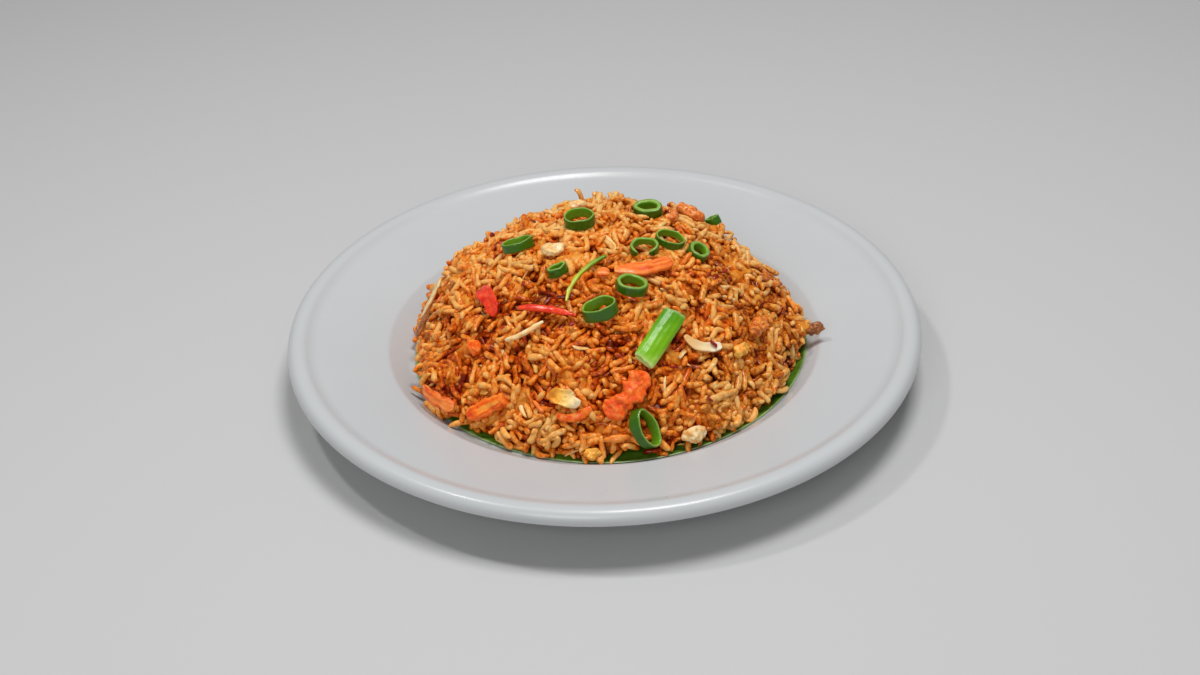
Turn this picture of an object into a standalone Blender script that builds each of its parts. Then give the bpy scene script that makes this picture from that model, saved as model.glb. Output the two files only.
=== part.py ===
"""Fried rice on a round white plate.

The plate is one turned piece with a foot ring.  A round-cut banana leaf lies in its well, and the
heap of rice sits on the leaf.  Scallion rings, strips of carrot and chilli, pieces of egg, onion
and fried chicken lie in shallow seats in the heap, and each of them is a piece of its own.

Metres, +Z up.  The origin is the centre of the plate's foot, on the table.  +X is to the diner's
right and -Y is towards the diner.  Places on the heap are given by a bearing (degrees from +X
towards +Y) and a climb above the level, both seen from the middle of the heap's foot.
"""

import math

import bmesh
import bpy
import numpy as np
from mathutils import Matrix, Vector, noise
from mathutils.bvhtree import BVHTree

MM = 0.001
GAP = 0.35 * MM                    # left between pieces that touch

# Plate
PLATE_RADIUS = 135.0 * MM
FLOOR_HEIGHT = 8.0 * MM            # eating surface of the well
WELL_RADIUS = 83.0 * MM            # where the floor turns up into the wall
SHOULDER_RADIUS = 93.0 * MM        # where the wall turns out into the rim
SHOULDER_HEIGHT = 15.8 * MM
LIP_RADIUS = 124.5 * MM            # where the rim turns up into its rolled lip
LIP_HEIGHT = 23.0 * MM
CREST_HEIGHT = 26.2 * MM
WALL_THICKNESS = 4.6 * MM
FOOT_RADIUS = 69.5 * MM
FOOT_WIDTH = 6.0 * MM
RECESS_HEIGHT = 3.0 * MM
PLATE_STEPS = 48

# Banana leaf
LEAF_CENTRE = (2.5 * MM, 0.5 * MM)
LEAF_RADIUS = 84.6 * MM
LEAF_THICKNESS = 0.8 * MM
LEAF_STEPS = 40

# Heap of rice
HEAP_CENTRE = Vector((1.0 * MM, 1.0 * MM, FLOOR_HEIGHT + LEAF_THICKNESS + 2 * GAP))
HEAP_RADIUS = 83.5 * MM
HEAP_RISE = 57.0 * MM
SIDE_POWER = 2.2                   # above 2 the flank is fuller than an ellipse's
CROWN_POWER = 1.38                 # below 2 the crown is more pointed than an ellipse's
FOOT_TUCK = 0.012                  # share by which the foot draws in under the flank
FOOT_TUCK_CLIMB = 6.0              # degrees
LUMP_DEPTH = 3.0 * MM
LUMPS_PER_RADIUS = 5.5
FOOT_CLEARANCE = 0.55 * MM         # least height over the leaf, before the surface is simplified
HEAP_SUBDIVISIONS = 5
HEAP_FACES_KEPT = 0.60             # share left once nearly flat stretches are simplified

# Where spilled or piled rice stands out of the even dome:
# bearing, climb, push (mm), half width (degrees)
BULGES = (
    (154, 21, 6.5, 6),             # left shoulder, at the back
    (163, 13, 2.0, 15),
    (213, 5, 9.0, 8),              # rice pushed over the left front of the leaf
    (351, 9, 6.5, 6),              # knob at the right
    (5, 8, 3.5, 22),
    (42, 36, 1.5, 12),
    (118, 44, 1.5, 9),
    (332, 4, 3.0, 16),
    (282, 2, 3.5, 26),             # loose rice along the front edge
    (235, 2, 1.5, 14),
)

# Scallion slices lying on the heap.  place: bearing, climb.  axis: bearing and lean from the
# vertical of the slice's own axis.  size: length, width and height of the oval slice (mm).
# turn: heading of the long side.  proud: height of the slice's middle above the rice (mm).
# gap: heading and width of the opening in a slice that is cut through, in degrees.
SCALLIONS = (
    {"place": (-176, 55), "axis": (130, 21), "size": (13.5, 12.0, 4.0), "wall": 1.3,
     "turn": 10, "proud": 1.2},
    {"place": (148, 79), "axis": (180, 4), "size": (13.2, 12.4, 4.6), "wall": 1.2,
     "turn": 0, "proud": 1.3},
    {"place": (44, 62), "axis": (-120, 15), "size": (13.0, 8.6, 5.0), "wall": 2.9,
     "turn": -15, "proud": 1.8},
    {"place": (35, 31.5), "axis": (140, 30), "size": (8.0, 5.4, 4.0), "wall": 1.4,
     "turn": -20, "proud": 1.6},
    {"place": (-40, 68), "axis": (-90, 9), "size": (12.2, 10.6, 3.6), "wall": 1.9,
     "turn": 10, "proud": 0.9, "gap": (-105, 52)},
    {"place": (-13, 62), "axis": (-15, 14), "size": (12.6, 10.4, 3.2), "wall": 1.1,
     "turn": -12, "proud": 0.8},
    {"place": (-11, 50), "axis": (-15, 29), "size": (10.8, 9.4, 4.2), "wall": 2.5,
     "turn": 60, "proud": 1.3},
    {"place": (-125.5, 58.3), "axis": (170, 14), "size": (8.6, 5.6, 4.0), "wall": 1.5,
     "turn": 20, "proud": 1.5},
    {"place": (-74, 52.5), "axis": (-20, 10), "size": (13.2, 11.0, 4.4), "wall": 2.4,
     "turn": -8, "proud": 1.6},
    {"place": (-92, 44), "axis": (165, 15), "size": (14.6, 12.4, 5.2), "wall": 1.5,
     "turn": 8, "proud": 2.0},
    {"place": (-81.7, 8.2), "axis": (-30, 60), "size": (17.0, 11.4, 5.0), "wall": 1.5,
     "turn": 150, "proud": 2.6},
)
STALK = {"ends": ((-77, 27), (-60, 38)), "size": (25.5, 9.6, 5.0), "wall": 1.5, "proud": 1.9}

# Long pieces.  path: bearing and climb of two or three points along the middle line.  width and
# thick: full size at the middle (mm).  tips: share of that size at the two ends.
# proud: height of the middle line above the rice (mm).  twist: degrees from end to end.
STRIPS = {
    "carrot_strip": {"path": ((-82, 61.4), (-35, 57)), "width": 6.4, "thick": 2.2, "tips": (0.5, 0.85),
                     "proud": 1.0, "twist": 12},
    "carrot_shred": {"path": ((-95.5, 60.8), (-86, 60.2)), "width": 4.2, "thick": 2.4, "tips": (0.6, 0.8),
                     "proud": 0.6, "twist": 0},
    "leek_strip": {"path": ((-87, 69.5), (-110, 59.5), (-111.5, 47.5)), "width": 2.0, "thick": 1.6,
                   "tips": (0.8, 0.6), "proud": 0.9, "twist": 30},
    "chilli_strip": {"path": ((-133, 40), (-119, 43), (-104, 42.5)), "width": 3.0, "thick": 2.0,
                     "tips": (0.9, 0.3), "proud": 0.8, "twist": 20},
    "pepper_curl": {"path": ((-163, 35.5), (-152, 37), (-142, 34)), "width": 6.2, "thick": 2.0,
                    "tips": (0.7, 0.7), "proud": 0.6, "twist": 35},
    "carrot_stick": {"path": ((-133, 5), (-123, 13)), "width": 6.2, "thick": 3.8, "tips": (0.9, 0.75),
                     "proud": 0.6, "twist": 10},
    "carrot_slice": {"path": ((-150, 6.8), (-137.5, 6.3)), "width": 6.0, "thick": 2.0, "tips": (0.5, 0.6),
                     "proud": 0.5, "twist": -15},
    "carrot_chunk": {"path": ((-78.5, 24), (-83, 18), (-91.5, 13.5)), "width": 9.6, "thick": 5.0,
                     "tips": (0.75, 0.6), "proud": 0.2, "twist": 0},
    "pepper_slip": {"path": ((-105.2, 12.2), (-99.8, 12.4), (-95.4, 14.9)), "width": 3.6, "thick": 1.8,
                    "tips": (0.7, 0.6), "proud": 0.3, "twist": 0},
    "egg_white_strip": {"path": ((-59, 31), (-55, 26), (-47.5, 23.5)), "width": 4.4, "thick": 1.8,
                        "tips": (0.5, 0.9), "proud": 0.7, "twist": -20},
    "cabbage_strip": {"path": ((169, 20), (179, 10)), "width": 5.0, "thick": 1.6, "tips": (0.8, 0.7),
                      "proud": 1.8, "twist": 15},
    "bean_sprout": {"path": ((-130, 29), (-125, 32), (-118, 38.5)), "width": 2.2, "thick": 2.0,
                    "tips": (0.8, 0.7), "proud": 0.8, "twist": 0},
    "crisp_flake": {"path": ((-175, 7), (-177, 14)), "width": 5.4, "thick": 1.8, "tips": (0.6, 0.8),
                    "proud": 2.2, "twist": 25},
    "chicken_piece": {"path": ((44, 46), (29, 42)), "width": 8.0, "thick": 5.0, "tips": (0.7, 0.6),
                      "proud": 0.6, "twist": 0},
    "onion_slice": {"path": ((-92, 6.2), (-84.5, 7)), "width": 6.0, "thick": 2.2, "tips": (0.8, 0.6),
                    "proud": 0.3, "twist": 10},
}

# Rough lumps.  place: bearing, climb.  size: length, width, thickness (mm).  turn: heading of the
# length.  proud: height of the middle above the rice (mm).
LUMPS = {
    "pepper_bit": {"place": (-142, 22), "size": (8.5, 6.0, 5.0), "turn": -60, "proud": 0.6},
    "egg_yolk_bit": {"place": (-40.5, 19), "size": (9.0, 6.4, 5.0), "turn": 50, "proud": 0.6},
    "tomato_piece": {"place": (-29, 21), "size": (14.0, 7.0, 5.6), "turn": 62, "proud": 0.6},
    "egg_lump": {"place": (-67, 4.4), "size": (11.5, 7.4, 6.6), "turn": 22, "proud": 0.8},
    "egg_crumb": {"place": (-95, 3), "size": (7.6, 5.6, 5.4), "turn": 5, "proud": 0.4},
    "crisp_piece": {"place": (-9.5, 7.5), "size": (4.4, 6.0, 10.0), "turn": 90, "proud": 1.6},
    "chicken_bit": {"place": (27, 57), "size": (7.4, 6.0, 5.2), "turn": 30, "proud": 0.6},
    "egg_curd": {"place": (-146, 66), "size": (11.5, 8.4, 4.4), "turn": -15, "proud": 0.5},
    "egg_white_bit": {"place": (112, 63), "size": (7.4, 5.4, 4.4), "turn": 10, "proud": 0.8},
}

# A thin fold of egg, cupped across its length
EGG_FOLD = {"place": (-103, 17), "size": (13.0, 9.4, 1.4), "cup": 2.6, "turn": -20, "proud": 1.6}

# What each strip or lump is made of, by the first word of its name
STRIP_MATERIALS = {"carrot": "carrot", "leek": "leek", "chilli": "pepper", "pepper": "pepper", "egg": "egg",
                   "cabbage": "cabbage", "bean": "cabbage", "crisp": "chicken", "chicken": "chicken",
                   "onion": "carrot", "tomato": "chicken"}

# Colour (linear red, green, blue) and roughness of each material
COLOURS = {
    "glaze": ((0.80, 0.80, 0.79), 0.12),
    "leaf": ((0.05, 0.16, 0.01), 0.35),
    "rice": ((0.55, 0.16, 0.03), 0.45),
    "scallion": ((0.05, 0.19, 0.01), 0.35),
    "scallion_stalk": ((0.21, 0.52, 0.02), 0.30),
    "carrot": ((0.87, 0.17, 0.03), 0.40),
    "pepper": ((0.78, 0.03, 0.02), 0.30),
    "leek": ((0.45, 0.55, 0.04), 0.40),
    "egg": ((0.85, 0.60, 0.25), 0.45),
    "chicken": ((0.60, 0.16, 0.03), 0.45),
    "cabbage": ((0.80, 0.55, 0.22), 0.40),
}


# ---------------------------------------------------------------- scene and small helpers

def clear_scene():
    for old in list(bpy.data.objects):
        bpy.data.objects.remove(old, do_unlink=True)


def new_collection(name):
    collection = bpy.data.collections.new(name)
    bpy.context.scene.collection.children.link(collection)
    return collection


def make_material(name):
    colour, roughness = COLOURS[name]
    material = bpy.data.materials.get(name)
    if material is None:
        material = bpy.data.materials.new(name)
        material.use_nodes = True
        shader = material.node_tree.nodes["Principled BSDF"]
        shader.inputs["Base Color"].default_value = (*colour, 1.0)
        shader.inputs["Roughness"].default_value = roughness
        shader.inputs["Metallic"].default_value = 0.0
    return material


def add_object(name, mesh_builder, collection, material=None, parent=None):
    """Object from a bmesh, linked to a collection."""
    mesh = bpy.data.meshes.new(name)
    mesh_builder.to_mesh(mesh)
    mesh_builder.free()
    piece = bpy.data.objects.new(name, mesh)
    collection.objects.link(piece)
    piece.parent = parent
    if material:
        mesh.materials.append(make_material(material))
        mesh.shade_smooth()
        mesh.set_sharp_from_angle(angle=math.radians(50))
    return piece


def add_cutter(name, mesh_builder, cutters):
    cutter = add_object(name, mesh_builder, cutters)
    cutter.hide_render = True
    cutter.display_type = "WIRE"
    return cutter


def direction(bearing, climb):
    """Unit vector at a bearing and a climb, in degrees."""
    b, c = math.radians(bearing), math.radians(climb)
    return Vector((math.cos(c) * math.cos(b), math.cos(c) * math.sin(b), math.sin(c)))


def standing(point, up, heading):
    """Frame at a point: Z along up, X as near as possible to a level heading."""
    z = up.normalized()
    x = direction(heading, 0)
    x = (x - z * x.dot(z)).normalized()
    y = z.cross(x)
    return Matrix.Translation(point) @ Matrix((x, y, z)).transposed().to_4x4()


# ---------------------------------------------------------------- plate and leaf

def filleted(corners):
    """Profile points through (radius, height, fillet, segments) corners, each rounded by an arc."""
    points = []
    for i, (r, z, fillet, segments) in enumerate(corners):
        here = Vector((r, z))
        if segments == 0:
            points.append(here)
            continue
        back = (Vector(corners[i - 1][:2]) - here).normalized()
        ahead = (Vector(corners[i + 1][:2]) - here).normalized()
        half = back.angle(ahead) / 2
        middle = here + (back + ahead).normalized() * fillet / math.sin(half)
        start = here + back * fillet / math.tan(half) - middle
        end = here + ahead * fillet / math.tan(half) - middle
        sweep = math.atan2(start.cross(end), start.dot(end))
        for k in range(segments + 1):
            angle = sweep * k / segments
            points.append(middle + Matrix.Rotation(angle, 2) @ start)
    return points


def plate_corners():
    """Half section of the plate, from the middle of its floor, over the lip, to the foot."""
    under = WALL_THICKNESS
    foot_inside = FOOT_RADIUS - FOOT_WIDTH
    return (
        (0.0, FLOOR_HEIGHT, 0.0, 0),
        (WELL_RADIUS, FLOOR_HEIGHT, 9 * MM, 3),
        (SHOULDER_RADIUS, SHOULDER_HEIGHT, 5 * MM, 3),
        (LIP_RADIUS, LIP_HEIGHT, 4 * MM, 1),
        (LIP_RADIUS + 4.5 * MM, CREST_HEIGHT, 6 * MM, 3),
        (PLATE_RADIUS, CREST_HEIGHT - 1.4 * MM, 4.2 * MM, 3),
        (PLATE_RADIUS, LIP_HEIGHT - 3.0 * MM, 1.2 * MM, 1),
        (LIP_RADIUS - 1.5 * MM, LIP_HEIGHT - under, 0.0, 0),
        (SHOULDER_RADIUS + 4.5 * MM, SHOULDER_HEIGHT - under + 0.6 * MM, 0.0, 0),
        (FOOT_RADIUS + 3.0 * MM, RECESS_HEIGHT + 0.4 * MM, 0.0, 0),
        (FOOT_RADIUS, 0.0, 0.0, 0),
        (foot_inside, 0.0, 0.0, 0),
        (foot_inside - 2.0 * MM, RECESS_HEIGHT, 0.0, 0),
        (0.0, RECESS_HEIGHT, 0.0, 0),
    )


def top_of_plate():
    """Radii and heights of the plate's upper side, out to the crest of its lip."""
    profile = filleted(plate_corners())
    crest = max(range(len(profile)), key=lambda i: profile[i].y)
    upper = profile[:crest + 1]
    return [p.x for p in upper], [p.y for p in upper]


PLATE_RADII, PLATE_HEIGHTS = top_of_plate()


def plate_height(x, y):
    """Height of the plate's upper side over a point of the plan."""
    return float(np.interp(math.hypot(x, y), PLATE_RADII, PLATE_HEIGHTS))


def make_plate(parts, table):
    profile = bmesh.new()
    verts = [profile.verts.new((p.x, 0.0, p.y)) for p in filleted(plate_corners())]
    for a, b in zip(verts, verts[1:]):
        profile.edges.new((a, b))
    plate = add_object("plate", profile, parts, "glaze", table)
    screw = plate.modifiers.new("turned", "SCREW")
    screw.steps = PLATE_STEPS
    screw.render_steps = PLATE_STEPS
    screw.use_merge_vertices = True
    screw.merge_threshold = 0.00005
    screw.use_smooth_shade = True
    return plate


def make_leaf(parts, table):
    """A round cut from a leaf: flat on the floor of the well, its edge riding up the wall."""
    disc = bmesh.new()
    radii = (0.0, LEAF_RADIUS - 9 * MM, LEAF_RADIUS - 4 * MM, LEAF_RADIUS)
    verts = [disc.verts.new((r, 0.0, 0.0)) for r in radii]
    edges = [disc.edges.new(pair) for pair in zip(verts, verts[1:])]
    bmesh.ops.spin(disc, geom=verts + edges, axis=(0, 0, 1), cent=(0, 0, 0), angle=2 * math.pi,
                   steps=LEAF_STEPS, use_merge=True)
    bmesh.ops.remove_doubles(disc, verts=disc.verts, dist=0.00005)
    for vert in disc.verts:
        bearing = math.atan2(vert.co.y, vert.co.x)
        hand_cut = 1 + 0.004 * math.cos(5 * bearing + 1.0) + 0.003 * math.cos(8 * bearing)
        vert.co.x = vert.co.x * hand_cut + LEAF_CENTRE[0]
        vert.co.y = vert.co.y * hand_cut + LEAF_CENTRE[1]
        vert.co.z = plate_height(vert.co.x, vert.co.y) + GAP
    bmesh.ops.recalc_face_normals(disc, faces=disc.faces)
    if sum(face.normal.z for face in disc.faces) < 0:
        bmesh.ops.reverse_faces(disc, faces=disc.faces)
    leaf = add_object("banana_leaf", disc, parts, "leaf", table)
    shell = leaf.modifiers.new("thickness", "SOLIDIFY")
    shell.thickness = LEAF_THICKNESS
    shell.offset = 1.0
    return leaf


# ---------------------------------------------------------------- heap of rice

def dome_reach(ways):
    """Distance from the heap's centre to its even dome along each unit vector.

    The dome is a superellipse turned round the vertical:
    (level distance / radius) ^ side power + (height / rise) ^ crown power = 1,
    solved for the distance by halving.
    """
    level = np.hypot(ways[:, 0], ways[:, 1]) / HEAP_RADIUS
    upward = np.maximum(ways[:, 2], 0.0) / HEAP_RISE
    near = np.zeros(len(ways))
    far = np.full(len(ways), 1.5 * HEAP_RADIUS)
    for _ in range(30):
        middle = (near + far) / 2
        inside = (middle * level) ** SIDE_POWER + (middle * upward) ** CROWN_POWER < 1
        near = np.where(inside, middle, near)
        far = np.where(inside, far, middle)
    return middle


def heap_reach(ways):
    """The dome's reach, drawn in at the foot, with its bulges and lumps."""
    climb = np.degrees(np.arcsin(np.clip(ways[:, 2], -1, 1)))
    tuck = np.clip(1 - climb / FOOT_TUCK_CLIMB, 0, 1) ** 2
    reach = dome_reach(ways) * (1 - FOOT_TUCK * tuck)
    for bearing, bulge_climb, push, half_width in BULGES:
        towards = np.array(direction(bearing, bulge_climb))
        away = np.degrees(np.arccos(np.clip(ways @ towards, -1, 1)))
        reach += push * MM * np.exp(-(away / half_width) ** 2)
    broad = np.array([noise.noise(Vector(way) * LUMPS_PER_RADIUS) for way in ways])
    small = np.array([noise.noise(Vector(way) * 2.1 * LUMPS_PER_RADIUS) for way in ways])
    return reach + LUMP_DEPTH * (broad + 0.5 * small)


def heap_mesh():
    """Upper half of a ball pushed out to the heap's outline, with an inset flat underside."""
    heap = bmesh.new()
    bmesh.ops.create_icosphere(heap, subdivisions=HEAP_SUBDIVISIONS, radius=1.0)
    lower = [face for face in heap.faces if face.calc_center_median().z < 0]
    bmesh.ops.delete(heap, geom=lower, context="FACES")
    ways = np.array([vert.co.normalized() for vert in heap.verts])
    for vert, way, reach in zip(heap.verts, ways, heap_reach(ways)):
        vert.co = HEAP_CENTRE + Vector(way) * reach
        leaf_top = plate_height(vert.co.x, vert.co.y) + LEAF_THICKNESS + 2 * GAP
        vert.co.z = max(vert.co.z, leaf_top + FOOT_CLEARANCE)
    rim = [edge for edge in heap.edges if edge.is_boundary]
    bottom = bmesh.ops.contextual_create(heap, geom=rim)["faces"]
    bmesh.ops.inset_region(heap, faces=bottom, thickness=9 * MM)
    for vert in bottom[0].verts:
        vert.co.z = HEAP_CENTRE.z
    bmesh.ops.recalc_face_normals(heap, faces=heap.faces)
    return heap


def make_heap(parts, cutters, table):
    heap = add_object("rice_heap", heap_mesh(), parts, "rice", table)
    simpler = heap.modifiers.new("simpler", "DECIMATE")
    simpler.ratio = HEAP_FACES_KEPT
    seats = heap.modifiers.new("seats", "BOOLEAN")
    seats.operation = "DIFFERENCE"
    seats.operand_type = "COLLECTION"
    seats.collection = cutters
    seats.solver = "EXACT"
    return heap


def heap_tree():
    """Search tree of the heap's outer surface, before any seat is cut into it."""
    surface = heap_mesh()
    tree = BVHTree.FromBMesh(surface)
    surface.free()
    return tree


def dome_normal(point):
    """Outward normal of the even dome near a point: the gradient of its superellipse."""
    offset = point - HEAP_CENTRE
    level = max(math.hypot(offset.x, offset.y), MM)
    side = SIDE_POWER / HEAP_RADIUS * (level / HEAP_RADIUS) ** (SIDE_POWER - 1)
    crown = CROWN_POWER / HEAP_RISE * (max(offset.z, MM) / HEAP_RISE) ** (CROWN_POWER - 1)
    return Vector((side * offset.x / level, side * offset.y / level, crown)).normalized()


def on_heap(tree, bearing, climb, proud=0.0):
    """Point of the heap in a direction, lifted along the dome's normal, and that normal."""
    way = direction(bearing, climb)
    point = tree.ray_cast(HEAP_CENTRE + way * 0.2, -way)[0]
    normal = dome_normal(point)
    return point + normal * proud * MM, normal


# ---------------------------------------------------------------- toppings

def oval_slice(length, width, height, gap=None):
    """Open wall of an oval tube slice, standing on its own middle; gap leaves part of it out."""
    wall = bmesh.new()
    sides = 12
    start, span = 0.0, 360.0
    if gap:
        start, span = gap[0] + gap[1] / 2, 360.0 - gap[1]
    steps = sides if gap else sides - 1
    for k in range(steps + 1):
        angle = math.radians(start + span * k / (steps if gap else sides))
        wall.verts.new((length / 2 * math.cos(angle), width / 2 * math.sin(angle), -height / 2))
    wall.verts.ensure_lookup_table()
    loop = [wall.edges.new((wall.verts[k], wall.verts[k + 1])) for k in range(steps)]
    if not gap:
        loop.append(wall.edges.new((wall.verts[steps], wall.verts[0])))
    risen = bmesh.ops.extrude_edge_only(wall, edges=loop)["geom"]
    bmesh.ops.translate(wall, verts=[v for v in risen if isinstance(v, bmesh.types.BMVert)],
                        vec=(0.0, 0.0, height))
    bmesh.ops.recalc_face_normals(wall, faces=wall.faces)
    if not gap and wall.faces[0].normal.dot(wall.faces[0].calc_center_median() * Vector((1, 1, 0))) < 0:
        bmesh.ops.reverse_faces(wall, faces=wall.faces)
    return wall


def oval_disc(length, width, height):
    """Closed oval disc that stands on its own middle; its flats, not its corners, keep the size."""
    sides = 12
    radius = 0.5 / math.cos(math.pi / sides)
    disc = bmesh.new()
    bmesh.ops.create_cone(disc, cap_ends=True, segments=sides, radius1=radius, radius2=radius, depth=height)
    for vert in disc.verts:
        vert.co.x *= length
        vert.co.y *= width
    return disc


def make_slice(name, frame, size, wall, parts, cutters, table, material, gap=None):
    """Tube slice with a real wall, and the seat that it lies in."""
    length, width, height = (value * MM for value in size)
    piece = add_object(name, oval_slice(length, width, height, gap), parts, material, table)
    piece.matrix_world = frame
    shell = piece.modifiers.new("wall", "SOLIDIFY")
    shell.thickness = wall * MM
    shell.offset = -1.0
    shell.use_even_offset = True
    clear = 2 * GAP
    seat = add_cutter(name + "_seat", oval_disc(length + clear, width + clear, height + clear), cutters)
    seat.matrix_world = frame
    return piece


def make_scallions(tree, parts, cutters, table):
    for number, slice_ in enumerate(SCALLIONS, start=1):
        point, _ = on_heap(tree, *slice_["place"])
        axis_bearing, lean = slice_["axis"]
        axis = direction(axis_bearing, 90 - lean)
        frame = standing(point + axis * slice_["proud"] * MM, axis, slice_["turn"])
        make_slice(f"scallion_ring_{number}", frame, slice_["size"], slice_["wall"], parts, cutters,
                   table, "scallion", slice_.get("gap"))


def make_stalk(tree, parts, cutters, table):
    """A flattened length of green stalk, lying along the slope with its cut end to the front."""
    low, normal = on_heap(tree, *STALK["ends"][0])
    high, _ = on_heap(tree, *STALK["ends"][1])
    length, width, depth = STALK["size"]
    along = (high - low).normalized()
    up = (normal - along * normal.dot(along)).normalized()
    middle = (low + high) / 2 + up * STALK["proud"] * MM
    frame = Matrix.Translation(middle) @ Matrix((up.cross(along), up, along)).transposed().to_4x4()
    make_slice("scallion_stalk", frame, (width, depth, length), STALK["wall"], parts, cutters, table,
               "scallion_stalk")


def strip_mesh(path, normals, width, thick, tips, twist, rough, grow=0.0):
    """Six-sided bar swept along a path: (across, thickness) shrink to the tips' share at the ends.

    The bar starts as a cylinder along Z cut into equal lengths.  Each point at share t of the
    length moves to path(t) + across * side + lift * normal, the section turning by twist in all.
    """
    rings = len(path) - 1
    bar = bmesh.new()
    bmesh.ops.create_cone(bar, cap_ends=True, segments=6, radius1=0.5, radius2=0.5, depth=1.0)
    lengthwise = [e for e in bar.edges if abs(e.verts[0].co.z - e.verts[1].co.z) > 0.5]
    bmesh.ops.subdivide_edges(bar, edges=lengthwise, cuts=rings - 1)
    for vert in bar.verts:
        share = vert.co.z + 0.5
        k = min(int(round(share * rings)), rings)
        before, after = path[max(k - 1, 0)], path[min(k + 1, rings)]
        along = (after - before).normalized()
        up = (normals[k] - along * normals[k].dot(along)).normalized()
        turn = Matrix.Rotation(math.radians(twist) * (share - 0.5), 3, along)
        up = turn @ up
        side = up.cross(along)
        middle_share = math.sin(math.pi * share) ** 0.6
        size = tips[0] * (1 - share) + tips[1] * share
        size = size + (1 - size) * middle_share
        wobble = 1 + rough * noise.noise(Vector((path[k].x, path[k].y, vert.co.x)) / (4 * MM))
        across = vert.co.x * width * size * wobble
        lift = vert.co.y * thick * (0.5 + 0.5 * size) * wobble
        if grow:
            across += math.copysign(grow, vert.co.x) if abs(vert.co.x) > 0.05 else 0.0
            lift += math.copysign(grow, vert.co.y) if abs(vert.co.y) > 0.05 else 0.0
        end = along * (grow if k == rings else -grow if k == 0 else 0.0)
        vert.co = path[k] + side * across + up * lift + end
    return bar


def path_on_heap(tree, stops, proud, rings=5):
    """Smooth line over the heap through two or three stops, and the dome's normals along it."""
    seats = [on_heap(tree, bearing, climb, proud) for bearing, climb in stops]
    first, last = seats[0][0], seats[-1][0]
    if len(seats) == 3:
        bow = seats[1][0] - (first + last) / 2
    else:
        turn = (stops[1][0] - stops[0][0] + 180) % 360 - 180
        halfway = on_heap(tree, stops[0][0] + turn / 2, (stops[0][1] + stops[1][1]) / 2, proud)[0]
        bow = halfway - (first + last) / 2
    path, normals = [], []
    for k in range(rings + 1):
        t = k / rings
        point = first.lerp(last, t) + bow * 4 * t * (1 - t)
        path.append(point)
        normals.append(dome_normal(point))
    return path, normals


def make_strips(tree, parts, cutters, table):
    for name, strip in STRIPS.items():
        path, normals = path_on_heap(tree, strip["path"], strip["proud"])
        shape = (strip["width"] * MM, strip["thick"] * MM, strip["tips"], strip["twist"], 0.12)
        material = STRIP_MATERIALS[name.split("_")[0]]
        add_object(name, strip_mesh(path, normals, *shape), parts, material, table)
        add_cutter(name + "_seat", strip_mesh(path, normals, *shape, grow=GAP), cutters)


def lump_mesh(size, seed, grow=0.0):
    """Ball pushed in and out by noise, scaled to its size; the seat is the same ball grown."""
    lump = bmesh.new()
    bmesh.ops.create_icosphere(lump, subdivisions=2, radius=1.0)
    for vert in lump.verts:
        way = vert.co.normalized()
        swell = 1 + 0.28 * noise.noise(way * 1.7 + Vector((seed, 0, 0)))
        half = Vector((way.x * size[0], way.y * size[1], way.z * size[2])) / 2
        vert.co = half * swell + half.normalized() * grow
    return lump


def make_lumps(tree, parts, cutters, table):
    for number, (name, lump) in enumerate(LUMPS.items()):
        point, normal = on_heap(tree, *lump["place"], lump["proud"])
        frame = standing(point, normal, lump["turn"])
        size = [value * MM for value in lump["size"]]
        seed = 3.7 * number
        piece = add_object(name, lump_mesh(size, seed), parts, STRIP_MATERIALS[name.split("_")[0]], table)
        piece.matrix_world = frame
        seat = add_cutter(name + "_seat", lump_mesh(size, seed, grow=1.4 * GAP), cutters)
        seat.matrix_world = frame


def fold_mesh(size, cup, grow=0.0):
    """Rounded sheet whose middle sags below its edges by the cup's depth."""
    sheet = bmesh.new()
    bmesh.ops.create_grid(sheet, x_segments=6, y_segments=4, size=1.0)
    half_length, half_width = size[0] / 2 + grow, size[1] / 2 + grow
    for vert in sheet.verts:
        u, v = vert.co.x, vert.co.y
        vert.co.x = half_length * u * math.sqrt(1 - 0.45 * v * v)
        vert.co.y = half_width * v * math.sqrt(1 - 0.35 * u * u)
        vert.co.z = cup * (0.9 * v * v + 0.35 * u * u + 0.15 * math.sin(3 * u + v))
    return sheet


def make_fold(tree, parts, cutters, table):
    point, normal = on_heap(tree, *EGG_FOLD["place"], EGG_FOLD["proud"])
    frame = standing(point, normal, EGG_FOLD["turn"])
    size = [value * MM for value in EGG_FOLD["size"]]
    fold = add_object("egg_fold", fold_mesh(size, EGG_FOLD["cup"] * MM), parts, "egg", table)
    seat = add_cutter("egg_fold_seat", fold_mesh(size, EGG_FOLD["cup"] * MM, grow=GAP), cutters)
    for piece, thickness in ((fold, size[2]), (seat, size[2] + 2.4 * GAP)):
        piece.matrix_world = frame
        shell = piece.modifiers.new("thickness", "SOLIDIFY")
        shell.thickness = thickness
        shell.offset = 0.0
        shell.use_even_offset = True


# ---------------------------------------------------------------- the whole serving

def build():
    clear_scene()
    parts = new_collection("fried_rice_plate")
    cutters = new_collection("seat_cutters")
    table = bpy.data.objects.new("serving", None)
    parts.objects.link(table)
    make_plate(parts, table)
    make_leaf(parts, table)
    tree = heap_tree()
    make_scallions(tree, parts, cutters, table)
    make_stalk(tree, parts, cutters, table)
    make_strips(tree, parts, cutters, table)
    make_lumps(tree, parts, cutters, table)
    make_fold(tree, parts, cutters, table)
    make_heap(parts, cutters, table)


build()
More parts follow.
